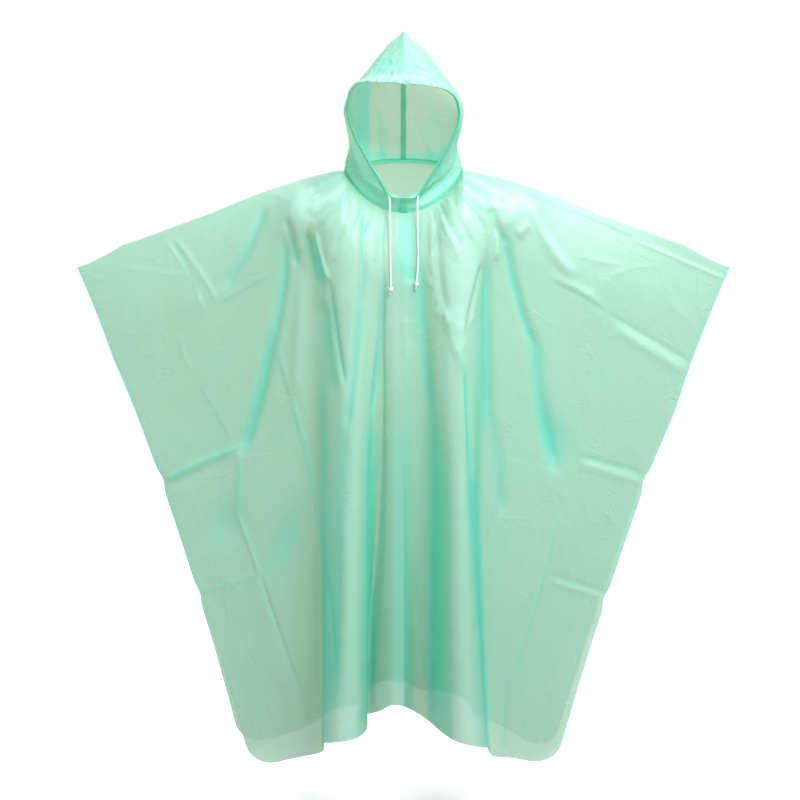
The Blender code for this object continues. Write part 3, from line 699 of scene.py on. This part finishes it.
def film_finish(name, pale, deep, clear=0.05, crinkle=1.0):
    """Milky film: light scatters in it, shines on its crinkles and passes straight through a
    little. Where it is folded or edge on, the colour is deeper and it lets less through; in sunken
    creases that deeper colour is partly painted shade. Where the fold attribute is below nothing,
    the colour turns to a painted highlight colour, and the film is glossier and shows less glow."""
    finish = Finish(name)
    cut = finish.add("UVMap", {"uv_map": "cut"}, {})
    fold = finish.add("Attribute", {"attribute_name": "fold"}, {}, out=2)
    cloud = finish.noise(cut, CLOUDS, detail=3)
    long_lines = 1 - abs(finish.noise(cut, LONG_LINES, detail=1.5) - 0.5) * 2
    drawn = finish.add("Mapping", {}, {"Vector": cut, "Scale": (0.5, 1.4, 1.0)})
    short_lines = 1 - abs(finish.noise(drawn, SHORT_LINES, detail=2.5, distortion=0.7) - 0.5) * 2
    worn = finish.noise(cut, WORN_PATCHES, detail=2) * 7 - 3.6
    worn = finish.add("Math", {"operation": "SMOOTH_MAX"}, {0: worn, 1: 0.05, 2: 0.2})
    grain = finish.noise(cut, GRAIN, detail=2)
    height = long_lines**14 * 0.30 + short_lines**9 * 0.42 * worn + grain * 0.02
    relief = {"Strength": crinkle, "Distance": RELIEF, "Height": height}
    bump = finish.add("Bump", {}, relief)
    clamp = {"operation": "ADD", "use_clamp": True}
    depth = finish.add("Math", clamp, {0: fold, 1: (cloud - 0.5) * 0.25})
    # below nothing, the fold attribute turns the colour towards the painted highlight colour
    highlight_share = finish.add("Math", clamp, {0: fold * -1, 1: 0.0})
    colour = finish.between(highlight_share, finish.between(depth, pale, deep), HIGHLIGHT_MINT)
    gloss = 0.38 + cloud * 0.12 - highlight_share * 0.10
    sockets = {"Base Color": colour, "Roughness": gloss, "IOR": 1.5, "Normal": bump}
    body = finish.add("BsdfPrincipled", {}, {**sockets, "Specular IOR Level": 0.8})
    glow = finish.add("BsdfTranslucent", {}, {"Color": (*GLOW, 1.0), "Normal": bump})
    deep_glow = finish.add("BsdfTranslucent", {}, {"Color": (*DEEP_GLOW, 1.0), "Normal": bump})
    glow = finish.add("MixShader", {}, {0: depth, 1: glow, 2: deep_glow})
    milk = finish.add("MixShader", {}, {0: 0.5 - highlight_share * 0.22, 1: body, 2: glow})
    straight = finish.add("BsdfTransparent", {}, {"Color": (0.97, 0.98, 0.97, 1.0)})
    share = clear - depth * (clear * 0.8)
    return finish.close(finish.add("MixShader", {}, {0: share, 1: milk, 2: straight}))


def panel(name, left, right, face, creases, swells, seed, material):
    """A whole panel: both halves side by side, then its creases, swellings and crumpling."""
    halves = zip(half_drape(left, LEFT, face), half_drape(right, RIGHT, face))
    grid, flat = (np.concatenate([one[:, :0:-1], other], axis=1) for one, other in halves)
    if face == BACK:
        grid, flat = grid[:, ::-1], flat[:, ::-1]
    lift, tint = creased(grid, creases)
    swell, swell_tint = swollen(grid, swells)
    lift, tint = lift + swell, tint + swell_tint
    lift += 0.0012 * rumple(flat * [1, 0.45], 0.07, seed) + 0.0010 * rumple(flat, 0.14, seed + 9)
    lift += 0.0005 * crumpled(flat, 0.07, seed + 20) + 0.0002 * crumpled(flat, 0.022, seed + 40)
    for side in (LEFT, RIGHT):
        out = np.clip((side * flat[..., 0] - NICK_FROM) / NICK_REACH, 0, 1) ** 2
        for nick in NICKS[side]:
            near = np.exp(-(((grid[..., 2] - nick.z) / nick.tall) ** 2))
            grid[..., 0] -= side * nick.depth * near * out
    held = soft_step(-flat[..., 1] / HELD_AT_SEAM)
    grid = grid + outward(grid) * (lift * held)[..., None]
    rim = soft_step((np.abs(flat[..., 0]) - RIM_FROM) / RIM_WIDTH)
    # the colour deepens where the film is edge on and along the side edges, and the creases and
    # swellings add their painted shade and painted highlights
    tint = 0.6 * fold_tint(grid) + 1.2 * np.maximum(tint, -0.5) + 0.45 * rim
    return film_piece(name, grid, flat, tint, material)


film = film_finish("mint_film", MINT, TEAL)
front_creases = FRONT_CREASES + neck_pleats(FRONT)
front = panel("front", FRONT_LEFT, FRONT_RIGHT, FRONT, front_creases, FRONT_SWELLS, 11, film)
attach(front, "root")
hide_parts("body_front")

# ------------------------------------------------
# The back panel: the same rectangle, nearly straight at the neck. Its folds are rounder and hang
# a little shorter.
BACK_LEFT = [
    Line(0.0, 0.0, 0.0, 0.112, 0.112, 0.97),
    Line(0.036, 0.034, 0.03, 0.114, 0.172, 0.975),
    Line(0.07, 0.06, 0.064, 0.115, 0.15, 0.985),
    Line(0.105, 0.09, 0.072, 0.112, 0.062, 0.998),
    Line(0.14, 0.116, 0.1, 0.102, 0.07, 1.012),
    Line(0.178, 0.15, 0.132, 0.086, 0.142, 1.024),
    Line(0.225, 0.19, 0.158, 0.068, 0.118, 1.04),
    Line(0.31, 0.262, 0.2, 0.044, 0.052, 1.054),
    Line(0.455, 0.354, 0.254, 0.02, 0.028, 1.066),
    Line(0.61, 0.438, 0.304, 0.006, 0.014, 1.08),
]
BACK_RIGHT = [
    Line(0.0, 0.0, 0.0, 0.112, 0.112, 0.97),
    Line(0.034, 0.03, 0.026, 0.114, 0.066, 0.976),
    Line(0.068, 0.06, 0.054, 0.115, 0.096, 0.984),
    Line(0.102, 0.09, 0.084, 0.112, 0.168, 0.996),
    Line(0.14, 0.12, 0.118, 0.102, 0.148, 1.01),
    Line(0.18, 0.15, 0.134, 0.086, 0.072, 1.026),
    Line(0.226, 0.19, 0.164, 0.068, 0.096, 1.04),
    Line(0.31, 0.26, 0.2, 0.044, 0.07, 1.056),
    Line(0.455, 0.345, 0.242, 0.02, 0.03, 1.076),
    Line(0.61, 0.428, 0.276, 0.006, 0.014, 1.094),
]
BACK_CREASES = [
    Crease(0.0, 0.02, 0.002, -0.96, 0.0, 0.004, 0.001, 0.8, 0.1),
    Crease(0.115, -0.08, 0.15, -0.42, 0.008, 0.012, -0.005, 0.0, 0.4),
    Crease(-0.12, -0.07, -0.165, -0.46, -0.01, 0.014, -0.006, 0.0, 0.4),
    Crease(-0.44, -0.56, -0.29, -0.51, 0.002, 0.006, 0.0035, 0.9, 0.25),
    Crease(0.43, -0.575, 0.3, -0.52, 0.0, 0.006, 0.0035, 0.9, 0.2),
    Crease(0.372, -0.79, 0.262, -0.752, 0.0, 0.005, 0.0025, 0.9, 0.2),
    Crease(-0.372, -0.78, -0.285, -0.748, 0.0, 0.005, 0.0025, 0.9, 0.2),
    Crease(-0.41, -0.14, -0.345, -0.27, 0.005, 0.005, 0.003, 0.7, 0.1),
    Crease(0.395, -0.135, 0.33, -0.26, -0.004, 0.005, 0.003, 0.7, 0.1),
    Crease(-0.235, -0.42, -0.15, -0.76, 0.01, 0.006, 0.0025, 0.7, 0.2),
    Crease(0.25, -0.47, 0.19, -0.86, -0.01, 0.006, 0.0025, 0.7, 0.2),
]
# painted highlights on the two shoulders, and painted shade in two hollows low down
BACK_SWELLS = [
    Swell(-0.15, -0.08, 0.06, 0.07, 20, 0.01, -0.3),
    Swell(0.155, -0.085, 0.06, 0.065, -20, 0.011, -0.3),
    Swell(-0.24, -0.62, 0.03, 0.06, 20, -0.005, 0.25),
    Swell(0.26, -0.56, 0.03, 0.06, -20, -0.005, 0.25),
]
back = panel("back", BACK_LEFT, BACK_RIGHT, BACK, BACK_CREASES, BACK_SWELLS, 71, film)
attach(back, "root")
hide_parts("body_back")

# ------------------------------------------------
# The hood: two curved halves, welded together along the centre from the brim over the peak to the
# nape, and below the chin. It stands open, round at the cheeks and pointed at the top.
Rib = namedtuple("Rib", "face_x face_y face_z lean side_x side_y side_z seam_y seam_z")
RIBS = [
    Rib(0.0, -0.08, -0.073, 0.0, 0.1085, 0.0, 0.015, 0.081, 0.046),
    Rib(0.0, -0.0905, -0.06, 0.0, 0.106, 0.0, 0.023, 0.088, 0.062),
    Rib(0.0235, -0.092, -0.056, 0.0, 0.101, 0.0, 0.043, 0.097, 0.084),
    Rib(0.045, -0.0905, -0.023, 0.001, 0.1025, 0.0, 0.068, 0.104, 0.108),
    Rib(0.0665, -0.087, 0.012, 0.002, 0.1085, 0.001, 0.094, 0.107, 0.136),
    Rib(0.09, -0.0835, 0.054, 0.004, 0.1115, 0.002, 0.118, 0.104, 0.164),
    Rib(0.102, -0.082, 0.094, 0.007, 0.102, 0.004, 0.146, 0.096, 0.192),
    Rib(0.0985, -0.087, 0.128, 0.009, 0.0795, 0.006, 0.176, 0.08, 0.218),
    Rib(0.078, -0.095, 0.145, 0.007, 0.0545, 0.008, 0.208, 0.058, 0.24),
    Rib(0.042, -0.099, 0.148, 0.003, 0.03, 0.01, 0.237, 0.035, 0.256),
    Rib(0.0, -0.101, 0.148, 0.0, 0.0, 0.012, 0.262, 0.024, 0.266),
]
PEAK = len(RIBS) - 1
CHIN_RIB = 2
FOOT_RIB = 0.6  # below it the film turns in to meet the ring
RING_HEIGHT = 0.008
DRAWN_FROM = 7.6  # the rib from which the cord gathers the brim
CROWN_FROM = 0.14
NAPE_BAND = 0.047
DOUBLED = (-0.063, -0.084)  # where the left half lies double, and where that fades
SIDE_SHARE = 0.45
HOOD_ROWS = 150
HOOD_COLUMNS = 110
HOOD_CUT = (0.30, 0.36)
# wrinkles over the crown and at the cheeks, with painted shade in their grooves and painted
# highlights on their ridges
HOOD_CREASES = [
    Crease(-0.044, 0.176, -0.014, 0.2, 0.003, 0.0026, 0.0016, 0.5, 0.4),
    Crease(-0.05, 0.19, -0.024, 0.214, 0.002, 0.0026, -0.0014, 0.5, 0.35),
    Crease(-0.036, 0.208, -0.01, 0.226, 0.002, 0.0024, 0.0014, 0.5, -0.45),
    Crease(-0.034, 0.178, -0.026, 0.2, 0.0, 0.0022, 0.0014, 0.5, 0.45),
    Crease(0.012, 0.196, 0.04, 0.18, 0.002, 0.0026, 0.0016, 0.5, 0.35),
    Crease(0.02, 0.182, 0.034, 0.204, 0.0, 0.0022, 0.0012, 0.5, 0.3),
    Crease(-0.06, 0.158, -0.02, 0.235, 0.002, 0.004, 0.0025, 0.4, 0.15),
    Crease(-0.03, 0.156, -0.012, 0.205, 0.0, 0.003, 0.002, 0.4, -0.15),
    Crease(0.025, 0.152, 0.01, 0.225, 0.0, 0.0035, 0.002, 0.4, 0.1),
    Crease(0.055, 0.15, 0.022, 0.215, -0.002, 0.004, 0.0022, 0.4, -0.15),
    Crease(-0.072, -0.07, -0.05, 0.0, 0.0, 0.005, -0.002, 0.2, 0.25),
    Crease(0.085, -0.045, 0.062, 0.01, 0.0, 0.005, -0.002, 0.2, 0.2),
    Crease(-0.1, 0.005, -0.082, 0.06, 0.003, 0.006, 0.0022, 0.2, 0.15),
    Crease(0.102, 0.01, 0.09, 0.07, -0.003, 0.006, 0.0022, 0.2, 0.15),
    Crease(-0.052, 0.172, -0.02, 0.17, 0.002, 0.0028, 0.0016, 0.4, 0.35),
    Crease(-0.045, 0.186, -0.018, 0.18, 0.002, 0.0028, -0.0016, 0.4, -0.45),
    Crease(0.018, 0.176, 0.056, 0.166, 0.002, 0.0028, 0.0016, 0.4, -0.3),
    Crease(-0.022, 0.205, -0.016, 0.16, 0.0, 0.0032, -0.002, 0.4, 0.4),
]
# Soft folds at the back of the head, seen through the face opening, with painted shade along them
NAPE_FOLDS = [
    Crease(-0.052, 0.13, -0.048, 0.03, 0.004, 0.006, 0.003, 0.2, 0.35),
    Crease(-0.03, 0.12, -0.044, -0.005, 0.0, 0.005, -0.002, 0.2, 0.2),
    Crease(0.03, 0.11, 0.06, 0.0, 0.004, 0.006, 0.0025, 0.2, 0.22),
    Crease(0.052, 0.135, 0.072, 0.04, 0.004, 0.008, -0.003, 0.0, 0.3),
    Crease(-0.06, 0.02, -0.015, 0.0, 0.003, 0.0045, 0.002, 0.4, 0.2),
    Crease(0.01, 0.004, 0.055, 0.016, -0.002, 0.0045, 0.002, 0.4, 0.2),
]
GATHERS = (0.056, 0.100)  # the puckered lines, as shares of the way back along a rib


def rib_places(rib, share):
    """Points on a rib, from 0 at the face or chin, past the side of the head, to 1 behind."""
    turn = math.pi / 2 * np.minimum(share / SIDE_SHARE, 1)
    ahead = np.minimum(share / SIDE_SHARE, 1)
    before = [
        between(rib["face_x"], rib["side_x"], np.sin(turn)),
        between(rib["face_y"], rib["side_y"], ahead),
        between(rib["face_z"], rib["side_z"], ahead),
    ]
    turn = math.pi / 2 * np.maximum((share - SIDE_SHARE) / (1 - SIDE_SHARE), 0)
    behind = [
        rib["side_x"] * np.cos(turn),
        between(rib["side_y"], rib["seam_y"], np.sin(turn)),
        between(rib["side_z"], rib["seam_z"], 1 - np.cos(turn)),
    ]
    return np.where((share < SIDE_SHARE)[..., None], np.stack(before, -1), np.stack(behind, -1))


def ribs_at(at, side):
    """The ribs of one half at many heights, each ready to be met by a row of shares."""
    read = {name: value[:, None] for name, value in read_rows(RIBS, at).items()}
    read["face_z"] = read["face_z"] - side * read["lean"]
    read["face_x"] = np.where(at[:, None] <= 1, 0, np.maximum(read["face_x"], 0))
    return read


def hood_form(side):
    """Half the hood as a grid, from the peak down and from left to right, with each point's
    place on the flat cut, its rib, and its share of the way back along the rib."""
    rib = np.linspace(0, PEAK, HOOD_ROWS)[:, None]
    share = np.linspace(0, 1, HOOD_COLUMNS)[None, :] + 0 * rib
    grid = rib_places(ribs_at(np.maximum(rib[:, 0], FOOT_RIB), side), share)
    ring = neck_edge(math.pi * share[0]) + [0, 0, RING_HEIGHT * 0.5]
    low = 1 - (1 - np.clip(rib / 0.9, 0, 1)[..., None]) ** 1.6
    grid = np.where(low < 1, between(ring[None], grid, low), grid) * [side, 1, 1]
    flat = np.stack([side * HOOD_CUT[0] * share, HOOD_CUT[1] * rib / PEAK + 0 * share], axis=-1)
    across = slice(None, None, -1 if side == RIGHT else 1)
    return grid[::-1, across], flat[::-1, across], rib[::-1], share[::-1, across]


def hood_half(name, side, seed):
    """Half the hood, with its creases, the puckers above the brim and its deeper tints."""
    grid, flat, rib, share = hood_form(side)
    ahead = soft_step((0.02 - grid[..., 1]) / 0.04)
    behind = soft_step((grid[..., 1] - 0.03) / 0.02)
    crown = soft_step((grid[..., 2] - CROWN_FROM) / 0.03) * ahead
    lift, tint = np.array(creased(grid, HOOD_CREASES)) * ahead
    nape, nape_tint = np.array(creased(grid, NAPE_FOLDS)) * behind
    lift, tint = lift + nape, tint + nape_tint
    lift += 0.0014 * rumple(flat * [1, 0.6], 0.045, seed) + 0.0012 * crumpled(flat, 0.028, seed + 5)
    lift += 0.0016 * crown * crumpled(flat * [1, 0.5], 0.012, seed + 7)
    if side == LEFT:
        doubled = soft_step((DOUBLED[0] - grid[..., 0]) / 0.004)
        faded = soft_step((DOUBLED[1] - grid[..., 0]) / 0.006)
        tint += behind * doubled * (0.75 - 0.45 * faded)
    # the drawn cord leaves two puckered lines above the brim, with painted shade and painted
    # highlights along them, and a painted highlight on the strip from the face opening back to the
    # second line
    drawn = soft_step(rib - DRAWN_FROM)
    puckers = rumple(flat * [0.3, 1], 0.0040, seed + 11)
    for place in GATHERS:
        line = np.exp(-(((share - place - 0.004 * puckers) / 0.009) ** 2)) * drawn
        lift += line * (0.0014 * puckers - 0.0010)
        tint += line * (0.30 - 0.70 * puckers)
    tint += drawn * soft_step((GATHERS[1] - share) / 0.015) * (-0.45 - 0.4 * puckers)
    centre = soft_step((np.abs(grid[..., 0]) - 0.002) / 0.012)
    grid = grid + outward(grid) * (lift * centre * soft_step(rib / 0.6))[..., None]
    # the film looks deeper edge on and darker towards the foot and the chin; painted shade darkens
    # the left half of the crown, which is turned from the light; the colour is deeper above the
    # nape's seam
    tint += 0.5 * fold_tint(grid) + 0.32 * soft_step((0.09 - grid[..., 2]) / 0.15)
    tint += crown * (0.30 if side == LEFT else 0.05) * soft_step((share - GATHERS[1]) / 0.05)
    tint += 0.35 * soft_step((2.4 - rib) / 2.4) * ahead
    ragged = 0.005 * rumple(flat, 0.012, seed + 13)
    tint += 0.5 * behind * soft_step((NAPE_BAND + ragged - grid[..., 2]) / 0.004)
    piece = film_piece(name, grid, flat, tint, film)
    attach(piece, "root")
    return piece


hood_left = hood_half("half_left", LEFT, 131)
hood_right = hood_half("half_right", RIGHT, 151)
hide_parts("hood_left")
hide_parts("hood_right")

# ------------------------------------------------
# The welds: narrow strips where two layers of film are melted together. They are deeper in colour
# and finely ribbed across by the sealing bar. One closes the hood along its centre, a short one
# lies below the chin, and a ring joins the hood to the two panels.
STRIP_WIDTH = 0.010
CHIN_STRIP_WIDTH = 0.013
STRIP_THICKNESS = 0.0005
RIPPLE = (190, 71)  # waves along a strip's edges
PEAK_DROOP = 1.15
WELD_PALE = (0.28, 0.85, 0.68)
WELD_DEEP = (0.20, 0.78, 0.60)


def weld_finish():
    """Two layers melted into one: shinier, with the sealing bar's fine ribs across it."""
    finish = Finish("mint_weld")
    cut = finish.add("UVMap", {"uv_map": "cut"}, {})
    cloud = finish.noise(cut, 0.012, detail=3)
    across = {"wave_type": "BANDS", "bands_direction": "Y"}
    ribs = finish.add("TexWave", across, {"Vector": cut, "Scale": 160.0, "Distortion": 0.3}, out=1)
    height = ribs * 0.35 + cloud * 0.8
    bump = finish.add("Bump", {}, {"Strength": 0.5, "Distance": 0.0006, "Height": height})
    fold = finish.add("Attribute", {"attribute_name": "fold"}, {}, out=2)
    colour = finish.between(cloud, WELD_PALE, WELD_DEEP)
    colour = finish.between(fold, colour, MINT)
    sockets = {"Base Color": colour, "Roughness": 0.30 + cloud * 0.2, "Normal": bump}
    body = finish.add("BsdfPrincipled", {}, sockets)
    glow = finish.add("BsdfTranslucent", {}, {"Color": (*WELD_PALE, 1.0), "Normal": bump})
    milk = finish.add("MixShader", {}, {0: 0.5, 1: body, 2: glow})
    straight = finish.add("BsdfTransparent", {}, {"Color": (0.97, 0.98, 0.97, 1.0)})
    return finish.close(finish.add("MixShader", {}, {0: 0.15, 1: milk, 2: straight}))


def walked_along(line):
    """How far along a line each of its points lies, as a column."""
    steps = np.linalg.norm(np.diff(line, axis=0), axis=1)
    return np.concatenate([[0], np.cumsum(steps)])[:, None]


def shell(name, grid, flat, thickness, material, close=False, pale=0.0):
    """A thin closed shell round a grid of points, paler where pale is more than nothing."""
    piece = film_piece(name, grid, flat, pale + np.zeros(grid.shape[:2]), material, close)
    bpy.context.view_layer.objects.active = piece
    thick = piece.modifiers.new("thickness", "SOLIDIFY")
    thick.thickness = thickness
    thick.offset = 0
    bpy.ops.object.modifier_apply(modifier=thick.name)
    return piece


def strip(name, line, width, wave, droop=0.0, pale=0.0):
    """A strip across the centre plane that follows a line, a little wavy along its edges, its
    two sides turned down by droop."""
    line, droop, pale = np.array(line), np.reshape(droop, (-1, 1)), np.reshape(pale, (-1, 1))
    reach = walked_along(line)
    half = np.linspace(-1, 1, 7)[None, :] * width / 2 + 0 * reach
    x = half + wave * np.sin(reach * RIPPLE[0]) * np.cos(reach * RIPPLE[1])
    grid = np.stack([x, line[:, 1:2] + 0 * x, line[:, 2:3] - np.abs(x) * droop], axis=-1)
    flat = np.stack([half, reach + 0 * x], axis=-1)
    return shell(name, grid, flat, STRIP_THICKNESS, weld, pale=pale)


weld = weld_finish()
at = np.linspace(0.3, PEAK, 120)
behind = rib_places(ribs_at(at, RIGHT), np.ones((len(at), 1)))[:, 0]
crown = rib_places(ribs_at(np.array([PEAK]), RIGHT), np.linspace(1, 0.08, 60)[None, :])[0, 1:]
nape = neck_edge(np.array([math.pi])) + [0, 0, RING_HEIGHT * 0.7]
over = np.concatenate([[0], soft_step((at - 8) / 2), np.ones(len(crown))])
centre_line = np.concatenate([nape, behind, crown])
fade = 0.45 + 0.45 * over
centre_weld = strip("centre_weld", centre_line, STRIP_WIDTH, 0.0004, PEAK_DROOP * over, fade)

chin_line = rib_places(ribs_at(np.linspace(0.5, 1.15, 16), RIGHT), np.zeros((16, 1)))[:, 0]
foot = neck_edge(np.zeros(1))[0] + [0, -0.0006, 0.0005]
rise = between(foot, chin_line[0], np.linspace(0, 0.9, 8)[:, None])
chin_line = np.concatenate([rise, chin_line]) - [0, 0.0010, 0]
chin_weld = strip("chin_weld", chin_line, CHIN_STRIP_WIDTH, 0.0002)

turn = np.linspace(0, math.tau, 360, endpoint=False)
edge = neck_edge(np.minimum(turn, math.tau - turn))
edge[:, 0] *= np.where(turn > math.pi, -1, 1)
away = edge * [1, 1, 0]
away /= np.linalg.norm(away, axis=1, keepdims=True)
band = np.linspace(-0.0005, RING_HEIGHT, 7)[:, None] + 0 * turn
belly = np.sin(np.linspace(0, math.pi, 7))[:, None] * np.sin(turn * 61) * np.sin(turn * 23 + 1)
proud = 0.0002 + 0.0003 * belly
ring_grid = edge + band[..., None] * [0, 0, 1] + proud[..., None] * away
ring_flat = np.stack([band, turn * 0.1 + 0 * band], axis=-1)
neck_ring = shell("neck_ring", ring_grid, ring_flat, STRIP_THICKNESS, weld, close=True)

welds = {"hood_centre_seam": centre_weld, "chin_seam": chin_weld, "neck_seam": neck_ring}
for node, piece in welds.items():
    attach(piece, "root")
    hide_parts(node)

# ------------------------------------------------
# The channel for the drawstring: the edge of the face opening turned back on itself and welded.
# The cord draws it into small puckers, most of all along the brim.
CASING_WIDTH = 0.013
CASING_DEPTH = 0.0060
CASING_WALL = 0.0004
CASING_AROUND = 19
CASING_CUT = (0.50, 0.034)
CASING_PALE = (0.46, 0.88, 0.76)
CASING_TEAL = (0.16, 0.76, 0.58)


def casing():
    """A flattened tube round the face, open at both ends, gathered along its length."""
    at = np.linspace(CHIN_RIB + 0.06, PEAK, 210)
    centres, backs = [], []
    for side in (RIGHT, LEFT):
        ribs = ribs_at(at, side)
        places = rib_places(ribs, np.zeros((len(at), 1)) + [0, 0.12]) * [side, 1, 1]
        back = places[:, 1] - places[:, 0]
        back /= np.linalg.norm(back, axis=1, keepdims=True)
        centres.append(places[:, 0] + back * CASING_WIDTH / 2)
        backs.append(back)
    centre, back = (np.concatenate([one, other[-2::-1]]) for one, other in (centres, backs))
    out = np.cross(np.gradient(centre, axis=0), back)
    out /= np.linalg.norm(out, axis=1, keepdims=True)
    reach = walked_along(centre)
    spot = reach * [1, 0]
    brim = soft_step((centre[:, 2:] - 0.125) / 0.02)
    pucker = (rumple(spot, 0.0055, 301) + 0.6 * rumple(spot, 0.0021, 302))[:, None]
    grid, flat = [], []
    for a in np.linspace(0, math.tau, CASING_AROUND):
        fold = rumple(spot + [0, 0.004 * a], 0.004, 303)[:, None]
        swell = 1 + (0.05 + 0.17 * brim) * pucker + 0.10 * brim * fold
        wide = CASING_WIDTH / 2 * math.cos(a) * (0.96 + 0.5 * (swell - 1))
        deep = (CASING_DEPTH / 2 - CASING_WALL) * math.sin(a) * swell
        grid.append(centre + back * wide + out * deep)
        flat.append(spot + [0, a / math.tau * CASING_CUT[1]])
    grid, flat = np.stack(grid, axis=1), np.stack(flat, axis=1)
    # deep colour down the sides of the face; along the brim the tint falls below nothing, a painted
    # highlight that is patchy with the puckers
    tint = 1 - brim * (1.15 + 0.6 * pucker) + np.zeros(grid.shape[:2])
    return film_piece("face_channel", grid, flat, tint, channel_film)


channel_film = film_finish("channel_film", CASING_PALE, CASING_TEAL, clear=0.10, crinkle=1.3)
channel = casing()
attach(channel, "root")
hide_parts("face_casing")
for piece in (hood_left, hood_right):
    pieces = [centre_weld, chin_weld, neck_ring] if piece == hood_left else []

# ------------------------------------------------
# A white studio: a floor just below the hem, a large soft lamp above on the right, a weaker one
# on the left, a wide one overhead, and white all round.
FLOOR_HEIGHT = -1.165
ROOM_BELOW = 0.45
ROOM_ABOVE = 0.83
ROOM_FLOOR_LIGHT = (1.0, 0.955, 0.81)
ROOM_SKY_LIGHT = (0.94, 1.0, 1.0)
FLOOR_GLOW = 0.62
bpy.ops.mesh.primitive_plane_add(size=60, location=(0, 0, FLOOR_HEIGHT))
floor = bpy.context.object
floor.name = "floor"
paint = Finish("floor_white")
where = paint.add("TexCoord", {}, {}, out="Object")
# a soft shadow painted on the floor beneath the poncho, darkening its base and glow colours
below = {"Vector": where, "Location": (0, 0.45, 0), "Scale": (1.3, 1.8, 1)}
below = paint.add("Mapping", {}, below)
shadow = paint.add("TexGradient", {"gradient_type": "SPHERICAL"}, {"Vector": below}, out=1)
white = paint.between(paint.noise(where, 0.5), (0.94, 0.94, 0.94), (0.97, 0.97, 0.97))
white = paint.between(shadow, white, (0.30, 0.29, 0.29))
bright = paint.between(shadow, (1, 1, 1), (0.36, 0.35, 0.35))
glow = {"Emission Color": bright, "Emission Strength": FLOOR_GLOW}
body = paint.add("BsdfPrincipled", {}, {"Base Color": white, "Roughness": 0.9, **glow})
floor.data.materials.append(paint.close(body))
floor.visible_diffuse = False
floor.visible_glossy = False
floor.visible_transmission = False

room = Finish("white_room", bpy.data.worlds)
where = room.add("TexCoord", {}, {}, out="Generated")
level = {"Value": room.add("SeparateXYZ", {}, {0: where}, out="Z"), "From Min": -1.0}
shade = room.between(room.add("MapRange", {}, level), ROOM_FLOOR_LIGHT, ROOM_SKY_LIGHT)
level.update({"To Min": ROOM_BELOW, "To Max": ROOM_ABOVE})
lit = {"Color": shade, "Strength": room.add("MapRange", {}, level)}
seen = room.add("Background", {}, {"Color": (1, 1, 1, 1), "Strength": 1.0})
direct = room.add("LightPath", {}, {}, out="Is Camera Ray")
mixed = room.add("MixShader", {}, {0: direct, 1: room.add("Background", {}, lit), 2: seen})
bpy.context.scene.world = room.close(mixed, "World")

Lamp = namedtuple("Lamp", "name place aim size power")
LAMPS = [
    Lamp("key", (1.3, -2.4, 1.7), (0.0, 0.0, -0.2), 1.3, 84),
    Lamp("fill", (-2.0, -3.0, 0.6), (0.0, 0.0, -0.5), 1.8, 14),
    Lamp("overhead", (1.1, -0.6, 2.0), (0.1, 0.0, 0.0), 1.5, 48),
    Lamp("behind", (0.0, 2.8, 0.4), (0.0, 0.0, -0.4), 2.4, 40),
]
for lamp in LAMPS:
    light = bpy.data.lights.new(lamp.name, "AREA")
    light.size, light.energy = lamp.size, lamp.power
    stand = put(lamp.name, light)
    stand.location = lamp.place
    ahead = Vector(lamp.aim) - Vector(lamp.place)
    stand.rotation_euler = ahead.to_track_quat("-Z", "Y").to_euler()
